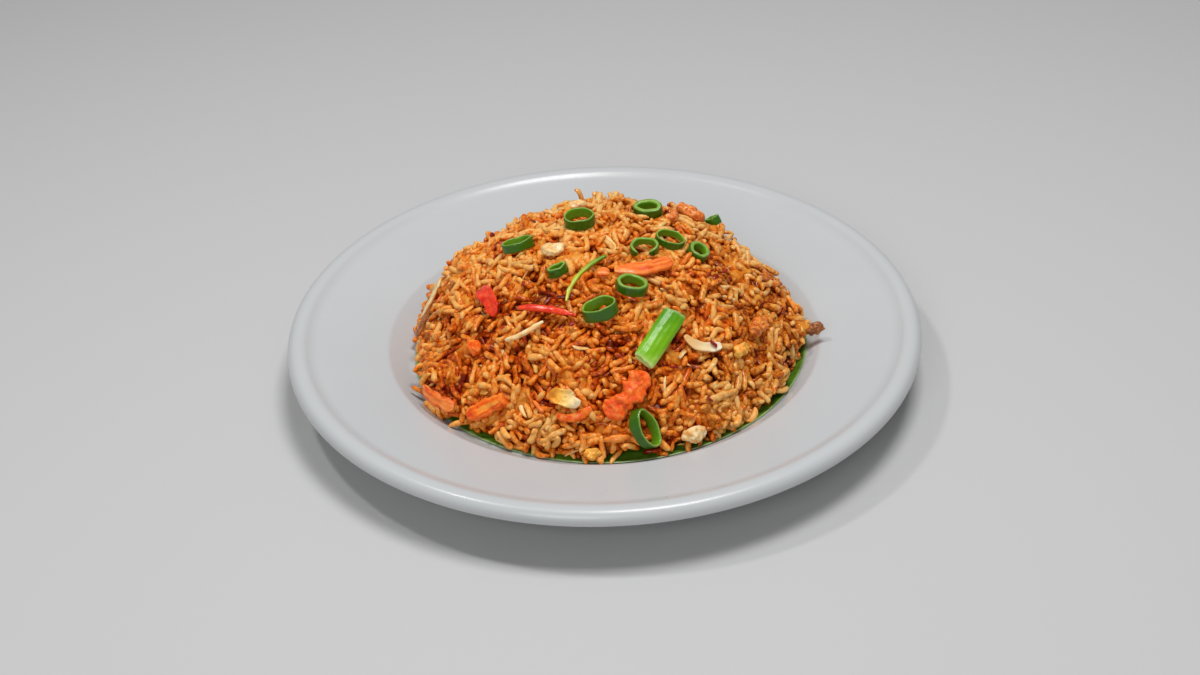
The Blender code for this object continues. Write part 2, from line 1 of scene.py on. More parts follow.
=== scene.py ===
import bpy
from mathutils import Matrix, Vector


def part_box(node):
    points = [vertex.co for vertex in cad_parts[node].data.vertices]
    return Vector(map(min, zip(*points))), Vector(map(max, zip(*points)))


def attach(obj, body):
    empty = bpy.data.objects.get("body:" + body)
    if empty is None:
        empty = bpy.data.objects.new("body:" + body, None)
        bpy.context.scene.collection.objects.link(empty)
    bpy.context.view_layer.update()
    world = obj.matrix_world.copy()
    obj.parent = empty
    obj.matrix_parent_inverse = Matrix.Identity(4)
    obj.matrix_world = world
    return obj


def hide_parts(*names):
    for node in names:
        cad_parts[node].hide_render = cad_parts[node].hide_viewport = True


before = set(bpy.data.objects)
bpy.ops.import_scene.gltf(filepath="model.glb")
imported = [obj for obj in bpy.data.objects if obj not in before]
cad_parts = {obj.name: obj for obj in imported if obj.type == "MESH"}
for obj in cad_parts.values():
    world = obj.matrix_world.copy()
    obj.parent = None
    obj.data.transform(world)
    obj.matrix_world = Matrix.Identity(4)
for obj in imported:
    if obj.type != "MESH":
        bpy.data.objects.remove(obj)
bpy.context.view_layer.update()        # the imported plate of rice, as a fixed frame

import math

import bpy
import numpy as np
from mathutils import Matrix, Vector
from mathutils.bvhtree import BVHTree

MM = 0.001

# Plate: the same section as the solid's
PLATE_RADIUS = 135.0 * MM
FLOOR_HEIGHT = 8.0 * MM
WELL_RADIUS = 83.0 * MM
SHOULDER_RADIUS = 93.0 * MM
SHOULDER_HEIGHT = 15.8 * MM
LIP_RADIUS = 124.5 * MM
LIP_HEIGHT = 23.0 * MM
CREST_HEIGHT = 26.2 * MM
WALL_THICKNESS = 4.6 * MM
FOOT_RADIUS = 69.5 * MM
FOOT_WIDTH = 6.0 * MM
RECESS_HEIGHT = 3.0 * MM
PLATE_STEPS = 288

# Leaf
LEAF_CENTRE = np.array((2.5, 0.5)) * MM
LEAF_RADIUS = 84.6 * MM
LEAF_THICKNESS = 0.8 * MM
LEAF_GAP = 0.15 * MM

# Rice
HEAP_CENTRE = np.array((1.0, 1.0, 9.5)) * MM
GRAIN_COUNT = 4500
BROKEN_COUNT = 450
BROWNED_COUNT = 700
EGG_CRUMB_COUNT = 170
SHRED_COUNT = 70
CARROT_BIT_COUNT = 50
GRAIN_WIDTH = 2.75 * MM
CORE_DEPTH = 6.4 * MM              # how far the grains' bed lies under the heap's outline
STAND_OUT = 1.6 * MM               # how far the loose grains may stand out of the outline
CLING = 0.74                       # balls' share of a grain's half width: wet grains press together
SPHERES = 4                        # each grain is settled as a row of four touching balls
SETTLE_STEPS = 90
CELL = 1.4 * MM                    # spacing of the lattice that holds the toppings' clearance
CLEAR_LIMIT = 5.0 * MM
LEVEL_CELL = 1.6 * MM              # spacing of the lattice that holds the grains' local height

# Chilli flecks: bearing and climb on the heap, in degrees, and lift over its outline in mm
FLECKS = ((-50.5, 24.6, 2.5), (-68, 23, 1.2), (-105, 39, 1.2), (-20, 40, 1.2), (-141, 48, 1.2),
          (60, 30, 1.2), (150, 35, 1.2), (-60, 12, 1.2))

rng = np.random.default_rng(41)
LATTICE = rng.uniform(-1, 1, (64, 64, 64))


# ---------------------------------------------------------------- small helpers

def unit(vectors):
    """Each row scaled to length one."""
    vectors = np.asarray(vectors, float)
    return vectors / np.maximum(np.linalg.norm(vectors, axis=-1, keepdims=True), 1e-12)


def field(points, cell, shift=0.0):
    """Smooth random field from -1 to 1: random values at the corners of cubes, eased between them."""
    place = points / cell + 211.3 + shift
    base = np.floor(place).astype(int)
    ease = place - base
    ease = ease * ease * (3 - 2 * ease)
    total = 0.0
    for corner in range(8):
        step = np.array((corner & 1, corner >> 1 & 1, corner >> 2 & 1))
        at = (base + step) % 64
        share = np.prod(np.where(step, ease, 1 - ease), axis=-1)
        total = total + share * LATTICE[at[..., 0], at[..., 1], at[..., 2]]
    return total


def ways(bearing, climb):
    """Unit vectors at bearings and climbs in radians."""
    return np.stack((np.cos(climb) * np.cos(bearing), np.cos(climb) * np.sin(bearing),
                     np.sin(climb) + 0 * bearing), axis=-1)


def through(values, count):
    """Catmull-Rom curve through equally spaced rows of values, read at count stations."""
    values = np.asarray(values, float)
    padded = np.concatenate((2 * values[:1] - values[1:2], values, 2 * values[-1:] - values[-2:-1]))
    place = count if isinstance(count, np.ndarray) else np.linspace(0, 1, count)
    place = place * (len(values) - 1)
    at = np.minimum(place.astype(int), len(values) - 2)
    t = (place - at)[:, None]
    a, b, c, d = (padded[at + k] for k in range(4))
    return 0.5 * (2 * b + (c - a) * t + (2 * a - 5 * b + 4 * c - d) * t ** 2
                  + (3 * b - a - 3 * c + d) * t ** 3)


def grid_faces(rows, columns, wrap_rows=False, wrap_columns=True):
    """Quads over a grid of points stored row after row; wrapping joins the last line to the first."""
    row = np.arange(rows if wrap_rows else rows - 1)[:, None]
    column = np.arange(columns if wrap_columns else columns - 1)[None, :]
    below, beside = (row + 1) % rows, (column + 1) % columns
    return np.stack((row * columns + column, row * columns + beside,
                     below * columns + beside, below * columns + column), axis=-1).reshape(-1, 4)


def tube_faces(rows, columns):
    """Quads of a closed tube of rings, and the two fans of triangles to its end points."""
    around = np.arange(columns)
    beside = (around + 1) % columns
    first, last = rows * columns, rows * columns + 1
    tail = (rows - 1) * columns
    start = np.stack((np.full(columns, first), beside, around), axis=-1)
    end = np.stack((np.full(columns, last), tail + around, tail + beside), axis=-1)
    return grid_faces(rows, columns), np.concatenate((start, end))


def volume(points, face_sets):
    """Signed volume inside the faces, each cut into a fan from its first corner."""
    total = 0.0
    for faces in face_sets:
        for k in range(1, faces.shape[1] - 1):
            a, b, c = points[faces[:, 0]], points[faces[:, k]], points[faces[:, k + 1]]
            total += np.einsum("ij,ij->", a, np.cross(b, c))
    return total / 6


def add_piece(name, points, face_sets, material, stands_for, marks=None):
    """Smooth mesh object at the origin, faces outwards, riding with the plate."""
    points = np.asarray(points, float).reshape(-1, 3)
    if volume(points, face_sets) < 0:
        face_sets = [faces[:, ::-1] for faces in face_sets]
    mesh = bpy.data.meshes.new(name)
    mesh.vertices.add(len(points))
    mesh.vertices.foreach_set("co", points.astype(np.float32).ravel())
    corners = np.concatenate([faces.ravel() for faces in face_sets]).astype(np.int32)
    sizes = np.concatenate([np.full(len(faces), faces.shape[1]) for faces in face_sets])
    mesh.loops.add(len(corners))
    mesh.loops.foreach_set("vertex_index", corners)
    mesh.polygons.add(len(sizes))
    mesh.polygons.foreach_set("loop_start", np.concatenate(((0,), np.cumsum(sizes)[:-1])).astype(np.int32))
    mesh.update(calc_edges=True)
    mesh.validate()
    mesh.shade_smooth()
    for mark, values in (marks or {}).items():
        layer = mesh.attributes.new(mark, "FLOAT", "POINT")
        layer.data.foreach_set("value", np.asarray(values, np.float32).ravel())
    mesh.materials.append(material)
    piece = bpy.data.objects.new(name, mesh)
    bpy.context.scene.collection.objects.link(piece)
    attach(piece, "root")
    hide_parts(*stands_for)
    return piece


def node_surface(name):
    """Points and triangles of a CAD node, its loose triangles joined where their corners meet."""
    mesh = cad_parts[name].data
    mesh.calc_loop_triangles()
    points = np.empty(len(mesh.vertices) * 3, np.float32)
    mesh.vertices.foreach_get("co", points)
    points = points.reshape(-1, 3).astype(float)
    triangles = np.empty(len(mesh.loop_triangles) * 3, np.int32)
    mesh.loop_triangles.foreach_get("vertices", triangles)
    _, first, index = np.unique(np.round(points / (0.004 * MM)), axis=0, return_index=True,
                                return_inverse=True)
    return points[first], index.reshape(-1)[triangles.reshape(-1, 3)]


def search_tree(names):
    """One search tree over the surfaces of several CAD nodes."""
    all_points, all_triangles, count = [], [], 0
    for name in names:
        points, triangles = node_surface(name)
        all_points.append(points)
        all_triangles.append(triangles + count)
        count += len(points)
    return BVHTree.FromPolygons(np.concatenate(all_points).tolist(), np.concatenate(all_triangles).tolist())


# ---------------------------------------------------------------- finishes

def link(tree, source, target):
    tree.links.new(source, target)


def node(tree, kind, inputs=None, **settings):
    """Shader node with its settings and inputs; an input given as a socket is linked."""
    made = tree.nodes.new("ShaderNode" + kind)
    for key, value in settings.items():
        setattr(made, key, value)
    for key, value in (inputs or {}).items():
        if isinstance(value, bpy.types.NodeSocket):
            link(tree, value, made.inputs[key])
        else:
            made.inputs[key].default_value = value
    return made


def ramp(tree, factor, stops):
    """Colour ramp through (place, colour) stops."""
    made = node(tree, "ValToRGB", {"Fac": factor})
    elements = made.color_ramp.elements
    while len(elements) < len(stops):
        elements.new(0.5)
    for element, (place, colour) in zip(elements, stops):
        element.position = place
        element.color = (*colour, 1.0)
    return made.outputs["Color"]


def spots(tree, size, detail=3.0, roughness=0.55, stretch=None, warp=0.0):
    """Noise of a given spot size in metres, in the object's own coordinates."""
    place = node(tree, "TexCoord").outputs["Object"]
    if stretch:
        place = node(tree, "Mapping", {"Vector": place, "Scale": stretch}).outputs["Vector"]
    return node(tree, "TexNoise", {"Vector": place, "Scale": 1.0 / size, "Detail": detail,
                                   "Roughness": roughness, "Distortion": warp}).outputs["Fac"]


def mark(tree, name):
    return node(tree, "Attribute", attribute_name=name).outputs["Fac"]


def maths(tree, operation, a, b=0.0, c=0.0):
    made = node(tree, "Math", operation=operation)
    for socket, value in zip(made.inputs, (a, b, c)):
        if isinstance(value, bpy.types.NodeSocket):
            link(tree, value, socket)
        else:
            socket.default_value = value
    return made.outputs[0]


def blend(tree, factor, a, b, mode="MIX"):
    made = node(tree, "Mix", data_type="RGBA", blend_type=mode)
    for socket, value in ((made.inputs[0], factor), (made.inputs[6], a), (made.inputs[7], b)):
        if isinstance(value, bpy.types.NodeSocket):
            link(tree, value, socket)
        elif isinstance(value, tuple):
            socket.default_value = (*value, 1.0)
        else:
            socket.default_value = value
    return made.outputs[2]


def finish(name, **shader_values):
    """New material, its tree and its principled shader, with constant sockets set by name."""
    material = bpy.data.materials.new(name)
    material.use_nodes = True
    tree = material.node_tree
    shader = tree.nodes["Principled BSDF"]
    for key, value in shader_values.items():
        shader.inputs[key.replace("_", " ")].default_value = value
    return material, tree, shader


def dress(tree, shader, colour, roughness=None, heights=()):
    """Links a colour, a roughness and bumps, each a (height, distance, strength)."""
    link(tree, colour, shader.inputs["Base Color"])
    if roughness is not None:
        link(tree, roughness, shader.inputs["Roughness"])
    normal = None
    for height, distance, strength in heights:
        values = {"Height": height, "Distance": distance, "Strength": strength}
        if normal is not None:
            values["Normal"] = normal
        normal = node(tree, "Bump", values).outputs["Normal"]
    if normal is not None:
        link(tree, normal, shader.inputs["Normal"])


def spread(tree, value, low, high):
    """Value from 0..1 mapped to low..high."""
    return maths(tree, "MULTIPLY_ADD", value, high - low, low)


def glaze():
    """White glaze: nearly even, with faint broad tints, fine orange peel and a hard clear gloss."""
    material, tree, shader = finish("white_glaze", Coat_Weight=0.2, Coat_Roughness=0.16,
                                    Specular_IOR_Level=0.4)
    tint = ramp(tree, spots(tree, 60 * MM, 2.0), ((0.3, (0.528, 0.545, 0.556)), (0.7, (0.547, 0.564, 0.575))))
    rough = spread(tree, spots(tree, 9 * MM, 4.0), 0.24, 0.38)
    dress(tree, shader, tint, rough, ((spots(tree, 7 * MM, 2.0), 0.06 * MM, 0.25),))
    return material


def leaf_finish():
    """Banana leaf: yellow-green between close parallel veins, waxy; pale where it is cut (mark "rim")."""
    material, tree, shader = finish("banana_leaf", Roughness=0.35, Coat_Weight=0.25, Coat_Roughness=0.25,
                                    Subsurface_Weight=0.1, Subsurface_Radius=(0.4, 1.0, 0.1),
                                    Subsurface_Scale=0.8 * MM)
    vein = spots(tree, 1.6 * MM, 2.0, stretch=(0.04, 1.0, 1.0))
    patch = spots(tree, 14 * MM, 3.0)
    tone = maths(tree, "MULTIPLY_ADD", vein, 0.5, maths(tree, "MULTIPLY", patch, 0.5))
    colour = ramp(tree, tone, ((0.32, (0.034, 0.110, 0.006)), (0.5, (0.074, 0.20, 0.010)),
                               (0.68, (0.14, 0.30, 0.02))))
    colour = blend(tree, maths(tree, "MULTIPLY", mark(tree, "rim"), patch), colour, (0.52, 0.62, 0.34))
    dress(tree, shader, colour, spread(tree, patch, 0.25, 0.5), ((vein, 0.25 * MM, 0.6),))
    return material


def rice_finish(name, stops, gloss):
    """Cooked grains: a translucent body stained by sauce and darkened by painted shade in the gaps (mark
    "sauce_and_shade"), with a film of oil.
    """
    material, tree, shader = finish(name, Coat_Weight=gloss, Coat_Roughness=0.10, Specular_IOR_Level=0.12,
                                    Subsurface_Weight=0.30, Subsurface_Radius=(1.0, 0.35, 0.10),
                                    Subsurface_Scale=0.9 * MM, IOR=1.42)
    stain = spots(tree, 1.3 * MM, 3.0, 0.6)
    patch = spots(tree, 16 * MM, 2.0)
    # The mark carries sauce stain and painted shade; the spots add real stain on top.
    tone = maths(tree, "ADD", mark(tree, "sauce_and_shade"), spread(tree, stain, -0.80, 0.80))
    tone = maths(tree, "ADD", tone, spread(tree, patch, -0.20, 0.20))
    colour = ramp(tree, tone, stops)
    dress(tree, shader, colour, spread(tree, spots(tree, 1.2 * MM), 0.22, 0.5),
          ((spots(tree, 0.7 * MM, 2.0), 0.14 * MM, 0.35), (stain, 0.30 * MM, 0.22)))
    return material


def food_finish(name, stops, size=3.0, bump=0.25, rough=(0.3, 0.5), along=None, fine=0.7, **values):
    """Mottled food: spots of a size (mm) run through colour stops, uneven gloss and fine grain.

    along names a mark from 0 to 1 that takes the colour through the stops instead, with the spots
    as a small shift.
    """
    settings = {"Coat_Weight": 0.25, "Coat_Roughness": 0.12, "Specular_IOR_Level": 0.3, "Subsurface_Weight": 0.2,
                "Subsurface_Radius": (1.0, 0.45, 0.2), "Subsurface_Scale": 1.2 * MM}
    settings.update(values)
    material, tree, shader = finish(name, **settings)
    mottle = spots(tree, size * MM, 4.0, 0.6, warp=0.4)
    tone = mottle
    if along:
        tone = maths(tree, "ADD", mark(tree, along), spread(tree, mottle, -0.22, 0.22))
    dress(tree, shader, ramp(tree, tone, stops), spread(tree, spots(tree, 1.5 * MM), *rough),
          ((mottle, bump * MM, 0.5), (spots(tree, fine * MM, 2.0), 0.12 * MM, 0.4)))
    return material


# ---------------------------------------------------------------- plate and leaf

def filleted(corners, step=4.0):
    """Profile through (radius, height, fillet) corners; arcs have a point every few degrees."""
    points = []
    for i, (r, z, fillet) in enumerate(corners):
        here = Vector((r, z))
        if fillet == 0:
            points.append(here)
            continue
        back = (Vector(corners[i - 1][:2]) - here).normalized()
        ahead = (Vector(corners[i + 1][:2]) - here).normalized()
        half = back.angle(ahead) / 2
        middle = here + (back + ahead).normalized() * fillet / math.sin(half)
        start = here + back * fillet / math.tan(half) - middle
        end = here + ahead * fillet / math.tan(half) - middle
        sweep = math.atan2(start.cross(end), start.dot(end))
        arcs = max(3, int(abs(math.degrees(sweep)) / step))
        points += [middle + Matrix.Rotation(sweep * k / arcs, 2) @ start for k in range(arcs + 1)]
    return np.array(points)


def plate_profile():
    """Half section of the plate, from the middle of its floor, over the lip, to the foot."""
    under = WALL_THICKNESS
    inside = FOOT_RADIUS - FOOT_WIDTH
    return filleted((
        (0.0, FLOOR_HEIGHT, 0),
        (WELL_RADIUS, FLOOR_HEIGHT, 9 * MM),
        (SHOULDER_RADIUS, SHOULDER_HEIGHT, 5 * MM),
        (LIP_RADIUS, LIP_HEIGHT, 12 * MM),
        (LIP_RADIUS + 4.5 * MM, CREST_HEIGHT, 6 * MM),
        (PLATE_RADIUS, CREST_HEIGHT - 1.4 * MM, 4.2 * MM),
        (PLATE_RADIUS, LIP_HEIGHT - 3.0 * MM, 1.2 * MM),
        (LIP_RADIUS - 1.5 * MM, LIP_HEIGHT - under, 6 * MM),
        (SHOULDER_RADIUS + 4.5 * MM, SHOULDER_HEIGHT - under + 0.6 * MM, 8 * MM),
        (FOOT_RADIUS + 3.0 * MM, RECESS_HEIGHT + 0.4 * MM, 2 * MM),
        (FOOT_RADIUS, 0.0, 1.0 * MM),
        (inside, 0.0, 1.0 * MM),
        (inside - 2.0 * MM, RECESS_HEIGHT, 1.5 * MM),
        (0.0, RECESS_HEIGHT, 0),
    ))


PROFILE = plate_profile()
CREST = int(np.argmax(PROFILE[:, 1]))


def plate_height(x, y):
    """Height of the plate's upper side over points of the plan."""
    return np.interp(np.hypot(x, y), PROFILE[:CREST + 1, 0], PROFILE[:CREST + 1, 1])


def make_plate():
    """The half section turned about the vertical axis; its two end points are the poles."""
    turns = np.arange(PLATE_STEPS) * 2 * math.pi / PLATE_STEPS
    rings = PROFILE[1:-1]
    circle = np.stack((np.cos(turns), np.sin(turns), np.ones(PLATE_STEPS)), axis=-1)
    points = rings[:, None, [0, 0, 1]] * circle[None]
    floor_in = np.linspace(0.15, 0.85, 6)[::-1, None] * rings[0] * (1, 0) + (0, FLOOR_HEIGHT)
    inner = floor_in[::-1][:, None, [0, 0, 1]] * circle[None]
    points = np.concatenate((inner, points))
    rows = len(points)
    poles = np.array(((0, 0, FLOOR_HEIGHT), (0, 0, RECESS_HEIGHT)))
    points = np.concatenate((points.reshape(-1, 3), poles))
    add_piece("plate_glazed", points, tube_faces(rows, PLATE_STEPS), glaze(), ["plate"])


def make_leaf():
    """A round sheet laid on the plate: radius = cut radius with slow waves, height = plate's height
    plus the gap; the upper side is raised by the thickness and by ribs across the leaf."""
    rows, columns = 44, 220
    share = np.linspace(0, 1, rows + 1)[1:] ** 0.6
    turns = np.arange(columns) * 2 * math.pi / columns
    cut = 1 + 0.004 * np.cos(5 * turns + 1.0) + 0.003 * np.cos(8 * turns)
    plan = (share[:, None] * cut)[..., None] * LEAF_RADIUS * np.stack((np.cos(turns), np.sin(turns)), -1)
    plan = plan + LEAF_CENTRE
    low = plate_height(plan[..., 0], plan[..., 1]) + LEAF_GAP
    ribs = 0.10 * MM * np.sin(plan[..., 1] / (0.9 * MM)) * np.clip((1 - share[:, None]) * 30, 0, 1)
    edge = np.clip((1 - share[:, None]) * 80, 0, 1) ** 0.5
    high = low + LEAF_THICKNESS * (0.55 + 0.45 * edge) + ribs
    low = low + LEAF_THICKNESS * 0.25 * (1 - edge)
    top = np.concatenate((plan, high[..., None]), axis=-1)
    bottom = np.concatenate((plan, low[..., None]), axis=-1)[::-1]
    centre = plate_height(0, 0) + LEAF_GAP
    poles = np.array(((*LEAF_CENTRE, centre + LEAF_THICKNESS), (*LEAF_CENTRE, centre)))
    points = np.concatenate((top.reshape(-1, 3), bottom.reshape(-1, 3), poles))
    rim = np.clip((share - 0.988) / 0.010, 0, 1)[:, None] * np.ones(columns)
    marks = {"rim": np.concatenate((rim.ravel(), rim[::-1].ravel(), (0, 0)))}
    add_piece("leaf_round", points, tube_faces(2 * rows, columns), leaf_finish(), ["banana_leaf"],
              marks)


# ---------------------------------------------------------------- the heap's outline

BEARINGS, CLIMBS = 240, 60
LOWEST_CLIMB = math.radians(1.6)


def heap_table():
    """Distance from the heap's centre to its outline, over bearings and climbs.

    The shallow seats of the toppings are filled: the table is widened by its highest neighbours,
    then drawn in by its lowest ones.
    """
    tree = search_tree(["rice_heap"])
    bearing = np.arange(BEARINGS) * 2 * math.pi / BEARINGS
    climb = np.linspace(LOWEST_CLIMB, math.pi / 2, CLIMBS)
    table = np.empty((BEARINGS, CLIMBS))
    for i, b in enumerate(bearing):
        for k, way in enumerate(ways(np.full(CLIMBS, b), climb)):
            start = Vector(HEAP_CENTRE + way * 0.2)
            table[i, k] = 0.2 - tree.ray_cast(start, Vector(-way))[3]
    for best in (np.maximum, np.minimum):
        for _ in range(2):
            table = best.reduce([table, np.roll(table, 1, 0), np.roll(table, -1, 0)])
            table[:, 1:-1] = best.reduce([table[:, 1:-1], table[:, 2:], table[:, :-2]])
    return table


OUTLINE = heap_table()


def reach(bearing, climb):
    """Outline table read between its rows and columns."""
    across = (bearing / (2 * math.pi) * BEARINGS) % BEARINGS
    up = np.clip((climb - LOWEST_CLIMB) / (math.pi / 2 - LOWEST_CLIMB), 0, 1) * (CLIMBS - 1)
    i, k = across.astype(int) % BEARINGS, np.minimum(up.astype(int), CLIMBS - 2)
    s, t = across - np.floor(across), up - k
    j = (i + 1) % BEARINGS
    return ((OUTLINE[i, k] * (1 - s) + OUTLINE[j, k] * s) * (1 - t)
            + (OUTLINE[i, k + 1] * (1 - s) + OUTLINE[j, k + 1] * s) * t)


def on_heap(bearing, climb, lift=0.0):
    """Points of the outline, raised by lift along its normals, and those normals."""
    climb = np.minimum(climb, math.radians(87))
    small = math.radians(3.0)

    def at(b, c):
        return HEAP_CENTRE + ways(b, c) * reach(b, c)[..., None]

    round_ = at(bearing + small, climb) - at(bearing - small, climb)
    upward = at(bearing, climb + small) - at(bearing, climb - small)
    normal = unit(np.cross(round_, upward))
    return at(bearing, climb) + normal * np.asarray(lift)[..., None], normal


def polar(points):
    """Bearing, climb and distance of points from the heap's centre."""
    offset = points - HEAP_CENTRE
    distance = np.linalg.norm(offset, axis=-1)
    return (np.arctan2(offset[..., 1], offset[..., 0]),
            np.arcsin(np.clip(offset[..., 2] / np.maximum(distance, 1e-9), -1, 1)), distance)


def leaf_top(x, y):
    """Height that rice rests at: the leaf's upper side, or the bare plate beyond it."""
    away = np.hypot(x - LEAF_CENTRE[0], y - LEAF_CENTRE[1])
    on_leaf = np.clip((LEAF_RADIUS - away) / (1.5 * MM), 0, 1)
    return plate_height(x, y) + (LEAF_THICKNESS + LEAF_GAP) * on_leaf


# ---------------------------------------------------------------- settling the rice

TOPPINGS = [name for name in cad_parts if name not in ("plate", "banana_leaf", "rice_heap")]


class Lattice:
    """Values at the corners of cubes of side cell, from the corner low onwards."""

    def read(self, points):
        """Value at points, eased between the lattice's corners."""
        place = np.clip((points - self.low) / self.cell, 0, self.count - 1.001)
        base = place.astype(int)
        t = place - base
        total = 0.0
        for corner in range(8):
            step = np.array((corner & 1, corner >> 1 & 1, corner >> 2 & 1))
            at = base + step
            share = np.prod(np.where(step, t, 1 - t), axis=-1)
            total = total + share * self.values[at[..., 0], at[..., 1], at[..., 2]]
        return total


class Clearance(Lattice):
    """Distance to the nearest topping, negative inside one, on a lattice around all of them."""

    def __init__(self):
        boxes = [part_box(name) for name in TOPPINGS]
        low = np.min([box[0] for box in boxes], axis=0) - CLEAR_LIMIT
        high = np.max([box[1] for box in boxes], axis=0) + CLEAR_LIMIT
        self.low, self.cell = low, CELL
        self.count = np.ceil((high - low) / CELL).astype(int) + 2
        tree = search_tree(TOPPINGS)
        steps = np.stack(np.meshgrid(*[np.arange(n) for n in self.count], indexing="ij"), -1).reshape(-1, 3)
        values = np.full(len(steps), CLEAR_LIMIT)
        place = low + steps * CELL
        bearing, climb, distance = polar(place)
        depth = reach(bearing, climb) - distance
        for k in np.flatnonzero((depth < 9 * MM) & (depth > -9 * MM)):
            point = Vector(place[k])
            hit, normal, _, away = tree.find_nearest(point, CLEAR_LIMIT)
            if hit is not None:
                values[k] = away if (point - hit).dot(normal) > 0 else -away
        self.values = values.reshape(self.count)

    def away(self, points):
        """Direction in which the distance grows: central differences along the three axes."""
        step = 0.7 * CELL * np.eye(3)
        return unit(np.stack([self.read(points + s) - self.read(points - s) for s in step], axis=-1))


def touching(points, near):
    """Pairs of points closer than near: cubes of that size are matched with half their neighbours."""
    cell = np.floor((points - points.min(0)) / near).astype(np.int64) + 1
    size = cell.max(0) + 2
    weights = np.array((size[1] * size[2], size[2], 1))
    key = cell @ weights
    order = np.argsort(key, kind="stable")
    sorted_key = key[order]
    firsts, seconds = [], []
    offsets = [(x, y, z) for x in (-1, 0, 1) for y in (-1, 0, 1) for z in (-1, 0, 1) if (x, y, z) >= (0, 0, 0)]
    for offset in offsets:
        target = key + np.dot(offset, weights)
        start = np.searchsorted(sorted_key, target, "left")
        count = np.searchsorted(sorted_key, target, "right") - start
        first = np.repeat(np.arange(len(points)), count)
        run = np.arange(count.sum()) - np.repeat(np.cumsum(count) - count, count)
        second = order[np.repeat(start, count) + run]
        if offset == (0, 0, 0):
            first, second = first[first < second], second[first < second]
        close = np.linalg.norm(points[first] - points[second], axis=1) < near
        firsts.append(first[close])
        seconds.append(second[close])
    return np.concatenate(firsts), np.concatenate(seconds)


def clump_at(points):
    """Height by which the bed under the grains rises and falls, so that they lie in clumps."""
    return 2.4 * MM * field(points, 10.0 * MM, 21.0) + 1.2 * MM * field(points, 5.0 * MM, 22.0)


def hollow_at(points):
    """Share from 0 to 1 by which a place lies in a hollow between two clumps."""
    return np.clip((-0.22 - field(points, 8.0 * MM, 31.0)) / 0.2, 0, 1)


def foot_at(points):
    """How far a low place lies beyond the heap's ragged foot on the leaf; zero or less higher up."""
    away = np.hypot(points[..., 0] - LEAF_CENTRE[0], points[..., 1] - LEAF_CENTRE[1])
    edge = LEAF_RADIUS - (4.2 + 3.0 * field(points * (1, 1, 0), 16.0 * MM, 37.0)) * MM
    high = np.clip(points[..., 2] - FLOOR_HEIGHT - 5.0 * MM, 0, None)
    return away - edge - high


def mush_at(points):
    """Share from 0 to 1 by which sauce and crumbs fill the space between the grains."""
    return np.clip(0.45 + 1.3 * field(points, 10.0 * MM, 33.0), 0, 1) * (1 - hollow_at(points))


def settle(middle, axis, length, radius, clearance):
    """Rows of balls pulled on to the core until they rest on it and on each other.

    In each step every row moves inwards a little; then overlapping balls of different rows are
    pushed apart along the line between them, and balls are pushed out of the core, the toppings,
    the leaf and the plate.  A row moves by the mean of its balls' pushes and turns by their moment.
    """
    rows = len(middle)
    owner = np.repeat(np.arange(rows), SPHERES)
    spacing = np.maximum(length - 2 * radius, 0.2 * MM) / (SPHERES - 1)
    offsets = (np.arange(SPHERES) - (SPHERES - 1) / 2)[None] * spacing[:, None]
    moment = np.sum(offsets ** 2, axis=1) + 0.4 * radius ** 2
    ball = np.repeat(radius, SPHERES) * CLING
    for step in range(SETTLE_STEPS):
        ease = 1 - step / SETTLE_STEPS
        bearing, climb, _ = polar(middle)
        normal = on_heap(bearing, np.clip(climb, LOWEST_CLIMB, 1.5))[1]
        if step < SETTLE_STEPS - 14:
            middle = middle - (normal * 0.9 + (0, 0, 0.35)) * 0.32 * MM * ease ** 0.5
        balls = (middle[:, None] + axis[:, None] * offsets[..., None]).reshape(-1, 3)
        push = np.zeros_like(balls)
        first, second = touching(balls, 2 * ball.max())
        other = owner[first] != owner[second]
        first, second = first[other], second[other]
        apart = balls[first] - balls[second]
        distance = np.maximum(np.linalg.norm(apart, axis=1), 1e-7)
        overlap = np.maximum(ball[first] + ball[second] - distance, 0)
        shove = apart * (0.5 * overlap / distance)[:, None]
        for k in range(3):
            push[:, k] += np.bincount(first, shove[:, k], len(balls))
            push[:, k] -= np.bincount(second, shove[:, k], len(balls))
        moved = balls + push
        ball_normal = np.repeat(normal, SPHERES, axis=0)
        bearing, climb, distance = polar(moved)
        outline = reach(bearing, climb)
        facing = np.einsum("ij,ij->i", ball_normal, unit(moved - HEAP_CENTRE))
        short = np.maximum(outline - CORE_DEPTH + clump_at(moved) + ball - distance, 0)
        proud = np.maximum(distance + ball - outline - STAND_OUT, 0)
        push += ball_normal * ((short - 0.5 * proud) * facing)[:, None]
        inside = np.maximum(ball + 0.15 * MM - clearance.read(moved), 0)
        hit = np.flatnonzero(inside)
        if len(hit):
            push[hit] += clearance.away(moved[hit]) * inside[hit, None]
        low = leaf_top(moved[:, 0], moved[:, 1]) + ball - moved[:, 2]
        push[:, 2] += np.maximum(low, 0)
        push = push.reshape(rows, SPHERES, 3)
        middle = middle + push.mean(axis=1) * 1.3
        turn = np.einsum("ij,ijk->ik", offsets, push) / moment[:, None]
        axis = unit(axis + turn * 0.8)
    return middle, axis


